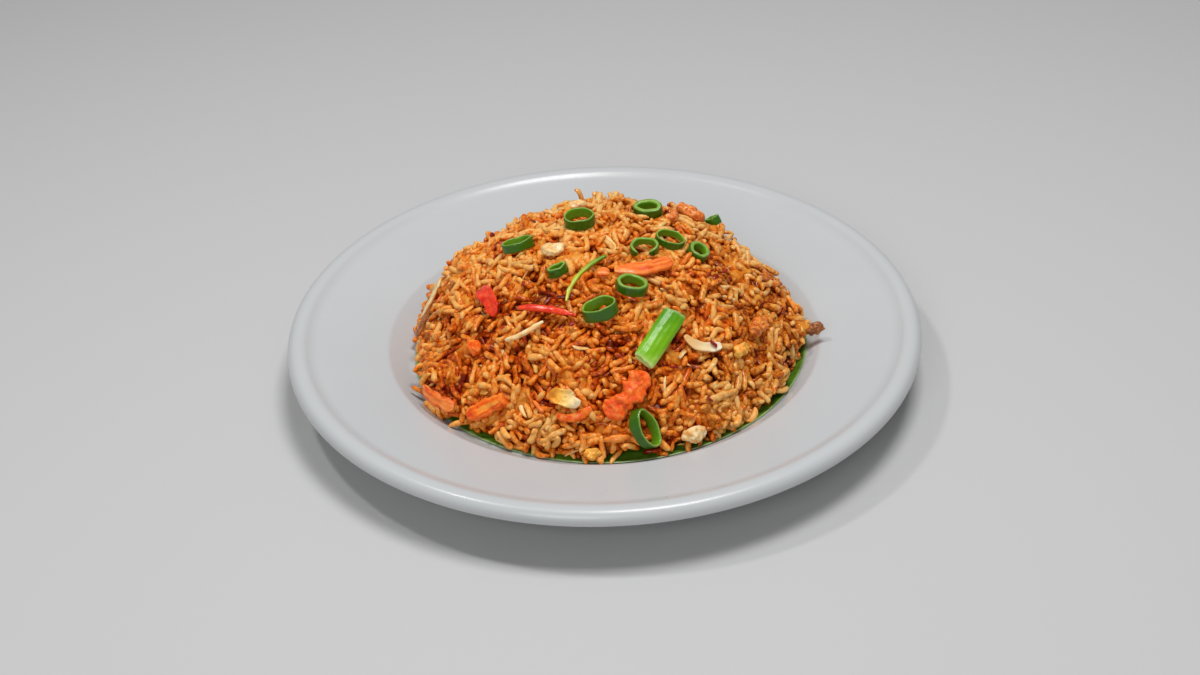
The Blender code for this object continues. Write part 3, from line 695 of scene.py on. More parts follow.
def scatter():
    """Settled rows for every kind of scattered thing: a dict of kind to its rows' values."""
    kinds = {"grain": GRAIN_COUNT, "broken": BROKEN_COUNT, "browned": BROWNED_COUNT,
             "egg": EGG_CRUMB_COUNT, "fleck": len(FLECKS), "shred": SHRED_COUNT,
             "carrot": CARROT_BIT_COUNT}
    count = sum(kinds.values())
    kind = np.repeat(np.arange(len(kinds)), list(kinds.values()))
    bearing = rng.uniform(0, 2 * math.pi, 6 * count)
    climb = rng.uniform(0, math.pi / 2, 6 * count)
    step = 0.02
    place = on_heap(bearing, climb)[0]
    sideways = np.linalg.norm(on_heap(bearing + step, climb)[0] - place, axis=1)
    upward = np.linalg.norm(on_heap(bearing, climb + step)[0] - place, axis=1)
    area = sideways * np.maximum(upward, 0.2 * MM)
    chosen = rng.choice(len(area), count, replace=False, p=area / area.sum())
    bearing, climb = bearing[chosen], climb[chosen]
    lift = rng.uniform(-CORE_DEPTH, 1.5 * MM, count)
    flecks = np.array(FLECKS, float) * (math.pi / 180, math.pi / 180, MM)
    bearing[kind == 4], climb[kind == 4] = flecks[:, 0], flecks[:, 1]
    lift[kind == 4] = 1.5 * MM
    lift[kind == 5] = rng.uniform(-2.0 * MM, 2.0 * MM, SHRED_COUNT)
    middle, normal = on_heap(bearing, climb, lift)
    heading = unit(np.cross(normal, rng.normal(size=(count, 3))))
    axis = unit(heading + normal * rng.normal(0, 0.6, count)[:, None])
    length = np.clip(rng.normal(8.9, 1.2, count), 6.0, 11.4) * MM
    radius = rng.normal(0.5, 0.05, count) * GRAIN_WIDTH
    length[kind == 1] = rng.uniform(3.8, 6.6, np.sum(kind == 1)) * MM
    length[kind == 2] = rng.uniform(1.8, 4.6, np.sum(kind == 2)) * MM
    radius[kind == 2] = rng.uniform(0.7, 1.5, np.sum(kind == 2)) * MM
    length[kind == 3] = rng.uniform(3.0, 6.0, np.sum(kind == 3)) * MM
    radius[kind == 3] = rng.uniform(0.9, 1.6, np.sum(kind == 3)) * MM
    length[kind == 4] = rng.uniform(3.0, 4.4, np.sum(kind == 4)) * MM
    radius[kind == 4] = 1.15 * MM
    length[kind == 5] = rng.uniform(8.0, 15.0, np.sum(kind == 5)) * MM
    radius[kind == 5] = rng.uniform(0.8, 1.3, np.sum(kind == 5)) * MM
    length[kind == 6] = rng.uniform(3.5, 9.0, np.sum(kind == 6)) * MM
    radius[kind == 6] = rng.uniform(0.9, 1.5, np.sum(kind == 6)) * MM
    clearance = Clearance()
    middle, axis = settle(middle, axis, length, radius, clearance)
    flat = kind == 4
    middle[flat], facing = on_heap(*flecks.T)
    axis[flat] = unit(np.cross(facing, rng.normal(size=(len(FLECKS), 3))))
    bearing, climb, distance = polar(middle)
    loose = (rng.random(count) < 0.30) & (distance > reach(bearing, climb) - 2.5 * MM) & (kind < 2)
    outward = on_heap(bearing, np.maximum(climb, LOWEST_CLIMB))[1]
    tilt = rng.uniform(0.2, 1.0, count) * loose * (clearance.read(middle) > 0.99 * CLEAR_LIMIT)
    axis = unit(axis + outward * tilt[:, None])
    middle = middle + outward * (tilt * 2.0 * MM)[:, None]
    bearing, climb, distance = polar(middle)
    over = distance - reach(bearing, climb)
    in_hollow = (rng.random(count) < hollow_at(middle)) & (over > -3.4 * MM) & (kind < 3)
    fallen = (rng.random(count) < 0.8) & (foot_at(middle) > 0)
    return {name: (middle[kept], axis[kept], length[kept], radius[kept])
            for name, kept in ((name, (kind == k) & ~in_hollow & ~fallen) for k, name in enumerate(kinds))}


def swarm(name, rows, rings, sides, profile, flat, bend, rough, material, sauce_and_shade=None, lumpy=0.18):
    """Many small rounded bodies in one mesh, each carried along its own bent axis.

    With w = 2t - 1 at share t of its length, a body's middle line is middle + axis * length * w / 2
    + side * bow * (1/2 - w^2) + up * sway * w * (1 - w^2), and its section is an oval of radius *
    profile(t), flattened by flat, swollen and pinched by a smooth random field (lumpy) and roughened
    by a random share at each corner.
    """
    middle, axis, length, radius = rows
    count = len(middle)
    t = 0.5 - 0.5 * np.cos(math.pi * np.arange(1, rings + 1) / (rings + 1))
    turn = np.arange(sides) * 2 * math.pi / sides
    side = unit(np.cross(axis, rng.normal(size=(count, 3))))
    up = np.cross(axis, side)
    bow = rng.normal(0, bend, count) * length
    sway = rng.normal(0, 0.5 * bend, count) * length
    ends = np.array((0.0, 1.0))
    shares = np.concatenate((t, ends))
    from_middle = 2 * shares - 1
    line = (middle[:, None] + axis[:, None] * (length[:, None] * (shares - 0.5))[..., None]
            + side[:, None] * (bow[:, None] * (0.5 - from_middle ** 2))[..., None]
            + up[:, None] * (2.6 * sway[:, None] * from_middle * (1 - from_middle ** 2))[..., None])
    lean = rng.uniform(-0.22, 0.22, count)
    size = radius[:, None] * profile(t)[None] * (1 + lean[:, None] * (2 * t - 1))
    section = (side[:, None, None] * np.cos(turn)[None, None, :, None]
               + up[:, None, None] * (flat * np.sin(turn))[None, None, :, None])
    jitter = 1 + rough * rng.uniform(-1, 1, (count, rings, sides))
    shell = line[:, :rings, None] + section * (size[:, :, None] * jitter)[..., None]
    swell = 1 + lumpy * field(shell, 2.4 * MM, 41.0)
    shell = line[:, :rings, None] + section * (size[:, :, None] * jitter * swell)[..., None]
    points = np.concatenate((shell.reshape(count, -1, 3), line[:, rings:]), axis=1)
    per_body = rings * sides + 2
    shift = (np.arange(count) * per_body)[:, None, None]
    faces = [(shift + part[None]).reshape(-1, part.shape[1]) for part in tube_faces(rings, sides)]
    marks = None
    if sauce_and_shade is not None:
        around = np.broadcast_to(unit(section), (count, rings, sides, 3)).reshape(count, -1, 3)
        away = np.concatenate((around, -axis[:, None], axis[:, None]), axis=1)
        # Mark "sauce_and_shade": sauce stain plus painted shade in the gaps between grains and on their inward
        # sides.
        marks = {"sauce_and_shade": sauce_and_shade(middle, points, away)}
    return add_piece(name, points.reshape(-1, 3), faces, material, ["rice_heap"], marks)


def sauce_and_shade_at(middle, points, away):
    """How deeply each point of a grain is stained by sauce, and how much painted shade it carries.

    A grain's own tone comes from broad patches and chance; it is deeper towards the front, and deeper towards
    the right as painted shade, as if the light fell from the left.
    Points grow darker with their depth in the gaps between grains and on the side that faces into the heap:
    painted shade where neighbouring grains would block the light.
    """
    broad = 0.16 * field(middle, 24 * MM, 3.0) + 0.22 * field(middle, 8 * MM, 5.0)
    # Darker towards the right: painted shade, as if the light fell from the left; darker towards the front.
    side = 0.02 * (middle[:, 0] / (80 * MM)) - 0.05 * (middle[:, 1] / (80 * MM))
    shade = 0.21 + broad + side + rng.normal(0, 0.12, len(middle))
    bearing, climb, distance = polar(points)
    depth = reach(bearing, climb) - distance - 0.6 * MM
    # Painted shade: points darken with their depth below the outline, where the gaps between grains would be in
    # shadow.
    gap = np.clip(depth / (5.0 * MM), 0, 1)
    bearing, climb, _ = polar(middle)
    normal = on_heap(bearing, np.maximum(climb, LOWEST_CLIMB))[1]
    # Painted shade on the side of each grain that faces into the heap.
    painted_inward_shade = np.clip(0.35 - np.einsum("ijk,ik->ij", away, normal), 0, 1.2)
    stained = 0.34 * field(points, 2.6 * MM, 9.0)
    return shade[:, None] + stained + 0.85 * gap + 0.15 * painted_inward_shade


def grain_profile(t):
    return (1 - np.abs(2 * t - 1) ** 5.0) ** 0.5


def crumb_profile(t):
    return np.sqrt(1 - (2 * t - 1) ** 2)


class Level(Lattice):
    """Height over the outline that the settled rows reach near a place, on a lattice round the heap.

    At each corner it is the mean of the nearby rows' outer heights, weighted by exp(height / 1 mm) so
    that the upper ones count most, after three passes of a 1-2-1 blur along each axis.
    """

    def __init__(self, rows):
        samples, heights = [], []
        for middle, axis, length, radius in (rows[kind] for kind in ("grain", "broken", "browned")):
            for share in (-0.36, -0.12, 0.12, 0.36):
                point = middle + axis * (length * share)[:, None]
                bearing, climb, distance = polar(point)
                samples.append(point)
                heights.append(distance + 0.9 * radius - reach(bearing, climb))
        samples, heights = np.concatenate(samples), np.concatenate(heights)
        self.cell = LEVEL_CELL
        self.low = samples.min(0) - 4 * LEVEL_CELL
        self.count = np.ceil((samples.max(0) - self.low) / LEVEL_CELL).astype(int) + 5
        weight = np.exp(np.clip(heights, -6 * MM, 3 * MM) / MM)
        place = np.round((samples - self.low) / LEVEL_CELL).astype(int)
        key = np.ravel_multi_index(place.T, self.count)
        size = int(np.prod(self.count))
        layers = [np.bincount(key, weight, size), np.bincount(key, weight * heights, size)]
        sums = []
        for layer in layers:
            layer = layer.reshape(self.count)
            for _ in range(3):
                for axis in range(3):
                    layer = (2 * layer + np.roll(layer, 1, axis) + np.roll(layer, -1, axis)) / 4
            sums.append(layer)
        self.values = (sums[1] - 2.5 * MM * 0.002) / (sums[0] + 0.002)


def make_core(rows):
    """Sauced rice and crumbs under the loose grains: a bed that follows the height the grains reach,
    less the depth they lie in it, with lumps of three sizes; the under side is flat on the leaf.
    Mark "rise" is 0 at its lowest places and 1 at its highest; the finish is near black at the lowest places,
    painted shade in the hollows between clumps, and the sauce's orange at the highest."""
    steps, columns = 165, 520
    climb = np.linspace(math.radians(1.0), math.radians(89.4), steps)[:, None]
    bearing = (np.arange(columns) * 2 * math.pi / columns)[None, :]
    way = ways(bearing + 0 * climb, climb + 0 * bearing)
    far = reach(bearing + 0 * climb, climb + 0 * bearing)
    shell = HEAP_CENTRE + way * (far - 2 * MM)[..., None]
    relief = (0.7 * field(shell, 4.0 * MM, 1.0) + 0.6 * field(shell, 2.2 * MM, 2.0)
              + 0.5 * field(shell, 1.2 * MM, 4.0)) * MM
    sunk = 3.4 * MM - 1.9 * MM * mush_at(shell) + 3.0 * MM * hollow_at(shell)
    level = Level(rows).read(shell)
    raised = np.clip(level - sunk + relief, 0.2 * MM - CORE_DEPTH, STAND_OUT)
    shell = HEAP_CENTRE + way * (far + raised)[..., None]
    drawn_in = np.clip(foot_at(shell) + 1.5 * MM, 0, 5 * MM)
    shell = shell - way * drawn_in[..., None]
    shell[..., 2] = np.maximum(shell[..., 2], leaf_top(shell[..., 0], shell[..., 1]) + 0.2 * MM)
    top = HEAP_CENTRE + np.array((0, 0, (far + raised)[-1].mean()))
    bottom = HEAP_CENTRE + np.array((0, 0, 0.3 * MM))
    points = np.concatenate((shell.reshape(-1, 3), (bottom, top)))
    rise = np.clip(1.15 - (sunk - relief) / (4.2 * MM), 0, 1)
    # Near-black low stops: painted shade in the bed's hollows; the upper stops are the colour of sauce and
    # crumbs.
    finish_ = food_finish("sauce_and_shade_core", ((0.05, (0.08, 0.006, 0.0003)), (0.35, (0.33, 0.044, 0.0008)),
                                          (0.58, (0.62, 0.145, 0.005)), (0.95, (0.80, 0.34, 0.045))),
                          size=1.4, bump=0.8, fine=0.5, along="rise", Coat_Weight=0.1,
                          Specular_IOR_Level=0.1)
    add_piece("rice_core", points, tube_faces(steps, columns), finish_, ["rice_heap"],
              {"rise": np.concatenate((rise.ravel(), (0, 0.5)))})


def carrot_finish(name, along=None):
    return food_finish(name, ((0.28, (0.70, 0.06, 0.005)), (0.45, (0.90, 0.17, 0.018)),
                                  (0.62, (0.95, 0.27, 0.045)), (0.85, (0.97, 0.46, 0.15))), size=2.4, bump=0.35,
                       along=along)


def make_rice(rows):
    # The darkest stops take the painted shade from the gaps and the grains' undersides; the lighter stops are
    # the grains' own sauce-stained colour.
    pale = ((0.02, (0.83, 0.49, 0.165)), (0.28, (0.775, 0.335, 0.060)), (0.52, (0.65, 0.182, 0.011)),
            (0.76, (0.43, 0.078, 0.001)), (1.0, (0.17, 0.016, 0.0003)))
    deep = ((0.02, (0.87, 0.45, 0.12)), (0.28, (0.83, 0.285, 0.032)), (0.52, (0.71, 0.148, 0.005)),
            (0.76, (0.48, 0.060, 0.0008)), (1.0, (0.21, 0.013, 0.0002)))
    coats = {"steamed": rice_finish("rice_pale", pale, 0.3), "sauced": rice_finish("rice_sauced", deep, 0.3)}
    middle = rows["grain"][0]
    lean = middle[:, 0] * -3.0 + middle[:, 1] * -2.0 + 0.25 * field(middle, 12 * MM, 13.0)
    stained = lean + rng.normal(0, 0.06, len(middle)) > 0
    for coat, chosen in (("sauced", stained), ("steamed", ~stained)):
        halves = np.cumsum(chosen) % 2 == 0
        for part, half in (("a", halves), ("b", ~halves)):
            picked = tuple(values[chosen & half] for values in rows["grain"])
            swarm(f"rice_{coat}_{part}", picked, 7, 7, grain_profile, 0.84, 0.11, 0.04, coats[coat],
                  sauce_and_shade_at)
    swarm("rice_broken", rows["broken"], 6, 7, grain_profile, 0.9, 0.04, 0.10, coats["steamed"],
          sauce_and_shade_at)
    browned = food_finish("browned_bits", ((0.3, (0.13, 0.018, 0.002)), (0.5, (0.44, 0.10, 0.008)),
                                           (0.7, (0.80, 0.32, 0.045))), size=1.5, bump=0.3)
    swarm("browned_bits", rows["browned"], 5, 7, crumb_profile, 0.8, 0.05, 0.34, browned)
    egg = food_finish("egg_bits", ((0.3, (0.87, 0.29, 0.025)), (0.5, (0.92, 0.45, 0.07)),
                                   (0.72, (0.94, 0.66, 0.24))), size=2.0, bump=0.3)
    swarm("egg_bits", rows["egg"], 6, 8, crumb_profile, 0.6, 0.08, 0.25, egg, lumpy=0.9)
    chilli = food_finish("chilli_flecks", ((0.3, (0.16, 0.004, 0.003)), (0.7, (0.45, 0.015, 0.008))),
                         size=1.5, bump=0.1)
    shred = food_finish("pale_shreds", ((0.3, (0.86, 0.36, 0.07)), (0.5, (0.90, 0.56, 0.20)),
                                        (0.72, (0.92, 0.72, 0.40))), size=3.0, bump=0.2)
    swarm("pale_shreds", rows["shred"], 9, 8, grain_profile, 0.45, 0.12, 0.10, shred)
    swarm("carrot_bits", rows["carrot"], 6, 8, grain_profile, 0.6, 0.06, 0.14,
          carrot_finish("carrot_crumb"))
    swarm("chilli_flecks", rows["fleck"], 5, 7, crumb_profile, 0.5, 0.1, 0.15, chilli)


# ---------------------------------------------------------------- toppings

def oval_section(across, thick, power, steps):
    """Closed outline |x/across|^power + |y/thick|^power = 1, its points at equal distances."""
    turn = np.linspace(0, 2 * math.pi, 721)
    x = across * np.sign(np.cos(turn)) * np.abs(np.cos(turn)) ** (2 / power)
    y = thick * np.sign(np.sin(turn)) * np.abs(np.sin(turn)) ** (2 / power)
    run = np.concatenate(((0,), np.cumsum(np.hypot(np.diff(x), np.diff(y)))))
    at = np.arange(steps) / steps * run[-1]
    return np.interp(at, run, x), np.interp(at, run, y)


def measure_slice(name):
    """Middle, axes, half sizes, wall, height and opening of a slice of oval tube.

    The cut ends are the largest set of triangles that share one direction; the wall is the
    distance between the outer and inner ovals of points on them.
    """
    points, triangles = node_surface(name)
    a, b, c = (points[triangles[:, k]] for k in range(3))
    facing = unit(np.cross(b - a, c - a))
    alike = np.abs(facing @ facing.T) > 0.9995
    axis = facing[np.argmax(alike.sum(axis=1))]
    outward = points.mean(0) - HEAP_CENTRE
    if axis @ outward < 0:
        axis = -axis
    height = points @ axis
    flat = points - np.outer(height, axis)
    _, _, turned = np.linalg.svd(flat - flat.mean(0), full_matrices=False)
    long, wide = turned[0], np.cross(axis, turned[0])
    x, y = flat @ long, flat @ wide
    mid_x, mid_y = (x.max() + x.min()) / 2, (y.max() + y.min()) / 2
    half = np.array((x.max() - x.min(), y.max() - y.min())) / 2
    share = np.hypot((x - mid_x) / half[0], (y - mid_y) / half[1])
    inner = share < 0.88
    wall = half[0] - np.abs(x[inner] - mid_x).max()
    middle = long * mid_x + wide * mid_y + axis * (height.max() + height.min()) / 2
    angles = np.unique(np.round(np.arctan2((y - mid_y) / half[1], (x - mid_x) / half[0])[~inner], 3))
    spaces = np.diff(np.concatenate((angles, angles[:1] + 2 * math.pi)))
    opening = None
    if spaces.max() > math.radians(40):
        k = int(np.argmax(spaces))
        opening = (angles[k] + spaces[k], angles[k] + 2 * math.pi)
    return {"middle": middle, "axis": axis, "long": long, "wide": wide, "half": half, "wall": wall,
            "height": height.max() - height.min(), "opening": opening}


def make_slice(name, material, around=64, section=26, ribs=26, rib_depth=0.07, skew=0.0,
               wall_share=0.74, seed=0.0):
    """Slice of a hollow stalk: a rounded wall section carried round an oval.

    The wall's middle line is middle + long * a cos(q) + wide * b sin(q); the section's first
    coordinate runs along the oval's outward normal and its second along the slice's axis.  Mark
    "depth" is 0 on the outer skin and 1 on the inner one, "end" is 1 on the cut faces, and "level"
    runs from 0 at the slice's lowest point to 1 at its highest.
    """
    size = measure_slice(name)
    wall, height = size["wall"] * wall_share, size["height"]
    out, rise = oval_section(wall / 2, height / 2, 4.5, section)
    if size["opening"]:
        q = np.linspace(*size["opening"], around)
    else:
        q = np.arange(around) * 2 * math.pi / around
    a, b = size["half"] - wall / 2 - 0.05 * MM
    wave = 1 + 0.02 * np.sin(3 * q + seed) + 0.014 * np.sin(5 * q + 2 * seed)
    outward = unit(np.stack((np.cos(q) / a, np.sin(q) / b), axis=-1))
    outward = outward[:, 0:1] * size["long"] + outward[:, 1:2] * size["wide"]
    line = (size["middle"] + size["long"] * (a * wave * np.cos(q))[:, None]
            + size["wide"] * (b * wave * np.sin(q))[:, None])
    depth = 0.5 - out / wall
    ridge = rib_depth * MM * np.sin(ribs * q)[:, None] * np.clip(1 - 2 * depth, 0, 1)[None]
    uneven = 0.12 * MM * (np.sin(2 * q + seed) + np.sin(5 * q - seed))
    lift = rise[None] + (uneven + skew * np.cos(q) * size["half"][0])[:, None] * (2 * rise / height)[None]
    shrink = np.ones(around)
    if size["opening"]:
        s = np.linspace(-1, 1, around)
        shrink = np.clip(1 - np.abs(s) ** 14, 0.05, 1) ** 0.5
    points = (line[:, None] + outward[:, None] * ((out[None] * shrink[:, None] + ridge)[..., None])
              + size["axis"] * (lift * shrink[:, None])[..., None])
    points = points + outward[:, None] * (0.10 * MM * field(points, 2.2 * MM, seed))[..., None]
    end = np.clip(np.abs(rise) / (height / 2) * 8 - 7, 0, 1)
    level = (points[..., 2] - points[..., 2].min()) / np.ptp(points[..., 2])
    marks = {"depth": np.broadcast_to(depth, points.shape[:2]), "end": np.broadcast_to(end, points.shape[:2]),
             "level": level}
    if size["opening"]:
        poles = np.stack((points[0].mean(0), points[-1].mean(0)))
        faces = tube_faces(around, section)
        marks = {key: np.concatenate((value.ravel(), (0.5, 0.5))) for key, value in marks.items()}
        points = np.concatenate((points.reshape(-1, 3), poles))
    else:
        faces = [grid_faces(around, section, wrap_rows=True)]
    return add_piece(name.replace("scallion", "green"), points, faces, material, [name], marks)


def scallion_finish(name, skin, flesh, cut, tip=None, foot=None):
    """Green onion: dark ribbed skin, lighter flesh inside, and a pale line where it is cut.

    tip and foot colour a long stalk's upper and lower ends, by the mark "level".
    """
    material, tree, shader = finish(name, Coat_Weight=0.2 if tip else 0.4, Coat_Roughness=0.2 if tip else 0.08,
                                    Specular_IOR_Level=0.25,
                                    Subsurface_Weight=0.12, Subsurface_Radius=(0.4, 1.0, 0.10),
                                    Subsurface_Scale=0.8 * MM)
    mottle = spots(tree, 2.5 * MM, 3.0)
    through_wall = maths(tree, "ADD", mark(tree, "depth"), spread(tree, mottle, -0.2, 0.2))
    body = ramp(tree, through_wall, ((0.12, skin), (0.5, flesh), (0.95, tuple(1.15 * v for v in flesh))))
    if tip:
        level = maths(tree, "ADD", mark(tree, "level"), spread(tree, mottle, -0.12, 0.12))
        body = blend(tree, ramp(tree, level, ((0.55, (0, 0, 0)), (0.92, (0.9, 0.9, 0.9)))), body, tip)
        body = blend(tree, ramp(tree, level, ((0.08, (0.9, 0.9, 0.9)), (0.38, (0, 0, 0)))), body, foot)
    edge = maths(tree, "MULTIPLY", mark(tree, "end"), spread(tree, mottle, 0.05, 0.75))
    colour = blend(tree, edge, body, cut)
    dress(tree, shader, colour, spread(tree, mottle, 0.22, 0.42),
          ((mottle, 0.5 * MM, 0.5), (spots(tree, 0.6 * MM), 0.08 * MM, 0.4)))
    return material


def strip_sections(name):
    """Middle points, across vectors and thickness vectors of the sections of a six-sided bar.

    The first section is the six points furthest back along the bar, for the first slant at which
    stepping from section to section along the edges finds six points each time.
    """
    points, triangles = node_surface(name)
    count = len(points)
    joined = np.zeros((count, count), bool)
    for k in range(3):
        joined[triangles[:, k], triangles[:, (k + 1) % 3]] = True
    joined |= joined.T
    centred = points - points.mean(0)
    _, _, axes = np.linalg.svd(centred, full_matrices=False)
    slants = [(p, q) for p in np.linspace(-1, 1, 9) for q in np.linspace(-1, 1, 9)]
    for p, q in sorted(slants, key=lambda pair: math.hypot(*pair)):
        along = centred @ (axes[0] + p * axes[1] + q * axes[2])
        seen = np.zeros(count, bool)
        layer = np.argsort(along)[:6]
        layers = []
        while len(layer) == 6:
            layers.append(points[layer])
            seen[layer] = True
            layer = np.flatnonzero(joined[layer].any(axis=0) & ~seen)
        if len(layers) * 6 == count:
            break
    else:
        return None
    middles = np.array([section.mean(0) for section in layers])
    across, thick = [], []
    for section, middle in zip(layers, middles):
        _, size, turned = np.linalg.svd(section - middle, full_matrices=False)
        side, rise = turned[0] * size[0] / math.sqrt(3), turned[1] * size[1] / math.sqrt(3)
        if across:
            if size[0] < 1.2 * size[1]:
                before = across[-1] - turned[2] * (across[-1] @ turned[2])
                side = unit(before) * np.linalg.norm(side)
                rise = unit(np.cross(turned[2], before)) * np.linalg.norm(rise)
            side = side * np.sign(side @ across[-1] or 1)
            rise = rise * np.sign(rise @ thick[-1] or 1)
        elif rise @ (middle - HEAP_CENTRE) < 0:
            rise = -rise
        across.append(side)
        thick.append(rise)
    return middles, np.array(across), np.array(thick)


def make_strip(name, material, slot, power=2.6, blunt=5.0, rough=0.25, curl=0.0, ragged=0.0, width=1.0,
               seed=0.0, rings=56, sides=40):
    """Cut strip: a rounded outline carried along the bar's middle line, roughened by two fields.

    The outline's half sizes follow the bar's; towards each end they shrink by
    (1 - |2t - 1|^blunt)^(1/blunt); width narrows them.  curl bends the strip's edges up by curl * x^2.  Mark "along" is t,
    and mark "fibre" is a random field drawn out along the strip.
    """
    middles, across, thick = strip_sections(name)
    t = 0.5 - 0.5 * np.cos(math.pi * np.arange(1, rings + 1) / (rings + 1))
    line, side, rise = through(middles, t), through(across, t) * width, through(thick, t)
    end_shape = (1 - np.abs(2 * t - 1) ** blunt) ** (1 / blunt)
    x, y = oval_section(1.0, 1.0, power, sides)
    edge = 1 + ragged * field(line / 1.0, 2.4 * MM, seed + 8)
    points = (line[:, None] + side[:, None] * (x[None] * (end_shape * edge)[:, None])[..., None]
              + rise[:, None] * ((y[None] + curl * (x[None] ** 2 - 0.4)) * end_shape[:, None])[..., None])
    outward = unit(points - line[:, None])
    relief = (rough * field(points, 2.8 * MM, seed) + 0.45 * rough * field(points, 1.1 * MM, seed + 3)) * MM
    points = points + outward * (relief * end_shape[:, None])[..., None]
    poles = np.stack((middles[0], middles[-1]))
    run = np.linalg.norm(middles[-1] - middles[0])
    half_width = np.linalg.norm(side, axis=1)[:, None]
    grain = np.stack((t[:, None] * run / 7 + 0 * x, x[None] * half_width / 0.6, y[None] * half_width / 0.9), -1)
    fibre = 0.52 + 0.32 * field(grain, MM, seed + 17) * np.ones((rings, sides))
    marks = {"along": np.concatenate((np.repeat(t, sides), (0, 1))),
             "fibre": np.concatenate((fibre.ravel(), (0.5, 0.5)))}
    points = np.concatenate((points.reshape(-1, 3), poles))
    return add_piece(name + "_cut", points, tube_faces(rings, sides), material, [name], marks)


def make_lump(name, material, slot, rough=0.5, cell=2.6, ridged=0.0, seed=0.0, rings=34, sides=48):
    """Rough lump: the solid's reach from its middle in every direction, smoothed, plus relief of
    three sizes.  Mark "up" is 0 at its foot and 1 at its top."""
    points, triangles = node_surface(name)
    tree = BVHTree.FromPolygons(points.tolist(), triangles.tolist())
    middle = points.mean(0)
    climb = np.linspace(-0.5, 0.5, rings + 2)[1:-1, None] * math.pi
    turn = (np.arange(sides) * 2 * math.pi / sides)[None]
    way = ways(turn + 0 * climb, climb + 0 * turn)
    far = np.array([tree.ray_cast(Vector(middle), Vector(w))[3] or 0 for w in way.reshape(-1, 3)])
    far = far.reshape(rings, sides)
    far = (far * 2 + np.roll(far, 1, 1) + np.roll(far, -1, 1)) / 4
    far[1:-1] = (2 * far[1:-1] + far[2:] + far[:-2]) / 4
    shell = middle + way * far[..., None]
    relief = (rough * field(shell, cell * MM, seed) + 0.5 * rough * field(shell, 0.45 * cell * MM, seed + 2)
              - ridged * np.abs(field(shell, 0.7 * cell * MM, seed + 5))) * MM
    shell = shell + way * relief[..., None]
    poles = np.stack((shell[0].mean(0), shell[-1].mean(0)))
    points = np.concatenate((shell.reshape(-1, 3), poles))
    outward = unit(middle - HEAP_CENTRE)
    up = points @ outward
    marks = {"up": (up - up.min()) / (up.max() - up.min())}
    return add_piece(name + "_cooked", points, tube_faces(rings, sides), material, [name], marks)


def make_fold(name, material):
    """Cupped piece of egg: x = a u sqrt(1 - 0.45 v^2), y = b v sqrt(1 - 0.35 u^2), height = cup times
    (0.9 v^2 + 0.35 u^2 + 0.15 sin(3u + v)), with a thickness that thins and ruffles at its torn edge.
    Mark "across" runs from 0 at its left end to 1 at its right end."""
    points, _ = node_surface(name)
    middle = points.mean(0)
    _, _, axes = np.linalg.svd(points - middle, full_matrices=False)
    up = axes[2] if axes[2] @ (middle - HEAP_CENTRE) > 0 else -axes[2]
    long = axes[0] * np.sign(axes[0][0])
    wide = np.cross(up, long)
    x, y, z = ((points - middle) @ direction for direction in (long, wide, up))
    half = (np.ptp(x) / 2, np.ptp(y) / 2)
    cup = (np.ptp(z) - 1.2 * MM) / 1.2
    rows, columns = 30, 72
    share = np.linspace(0, 1, rows + 1)[1:, None] ** 0.8
    turn = (np.arange(columns) * 2 * math.pi / columns)[None]
    torn = field(np.stack((np.cos(turn[0]), np.sin(turn[0]), 0 * turn[0]), axis=-1), 0.75, 3.0)
    square = 1 / np.maximum(np.abs(np.cos(turn)), np.abs(np.sin(turn))) ** 0.65
    square = square * (0.90 + 0.55 * torn * share ** 2)
    u, v = share * np.cos(turn) * square, share * np.sin(turn) * square
    u, v = np.clip(u, -1, 1), np.clip(v, -1, 1)
    height = cup * (0.9 * v * v + 0.35 * u * u + 0.15 * np.sin(3 * u + v)) - 0.42 * cup
    flat = (half[0] * u * np.sqrt(1 - 0.45 * v * v), half[1] * v * np.sqrt(1 - 0.35 * u * u))
    sheet = middle + long * flat[0][..., None] + wide * flat[1][..., None] + up * height[..., None]
    ruffle = 2.2 * MM * field(sheet, 4.0 * MM, 5.0) * (0.4 + 0.6 * share)
    thick = 1.0 * MM * np.sqrt(np.clip(1.02 - share ** 4, 0, 1)) + 0 * turn
    top = sheet + up * (ruffle + thick + 0.3 * MM * field(sheet, 1.4 * MM, 2.0))[..., None]
    bottom = (sheet + up * (ruffle - thick)[..., None])[::-1]
    centre = middle - up * 0.42 * cup
    poles = np.stack((centre + up * 0.6 * MM, centre - up * 0.6 * MM))
    points = np.concatenate((top.reshape(-1, 3), bottom.reshape(-1, 3), poles))
    half_way = (u + 1) / 2
    marks = {"across": np.concatenate((half_way.ravel(), half_way[::-1].ravel(), (0.5, 0.5)))}
    return add_piece(name + "_cooked", points, tube_faces(2 * rows, columns), material, [name], marks)


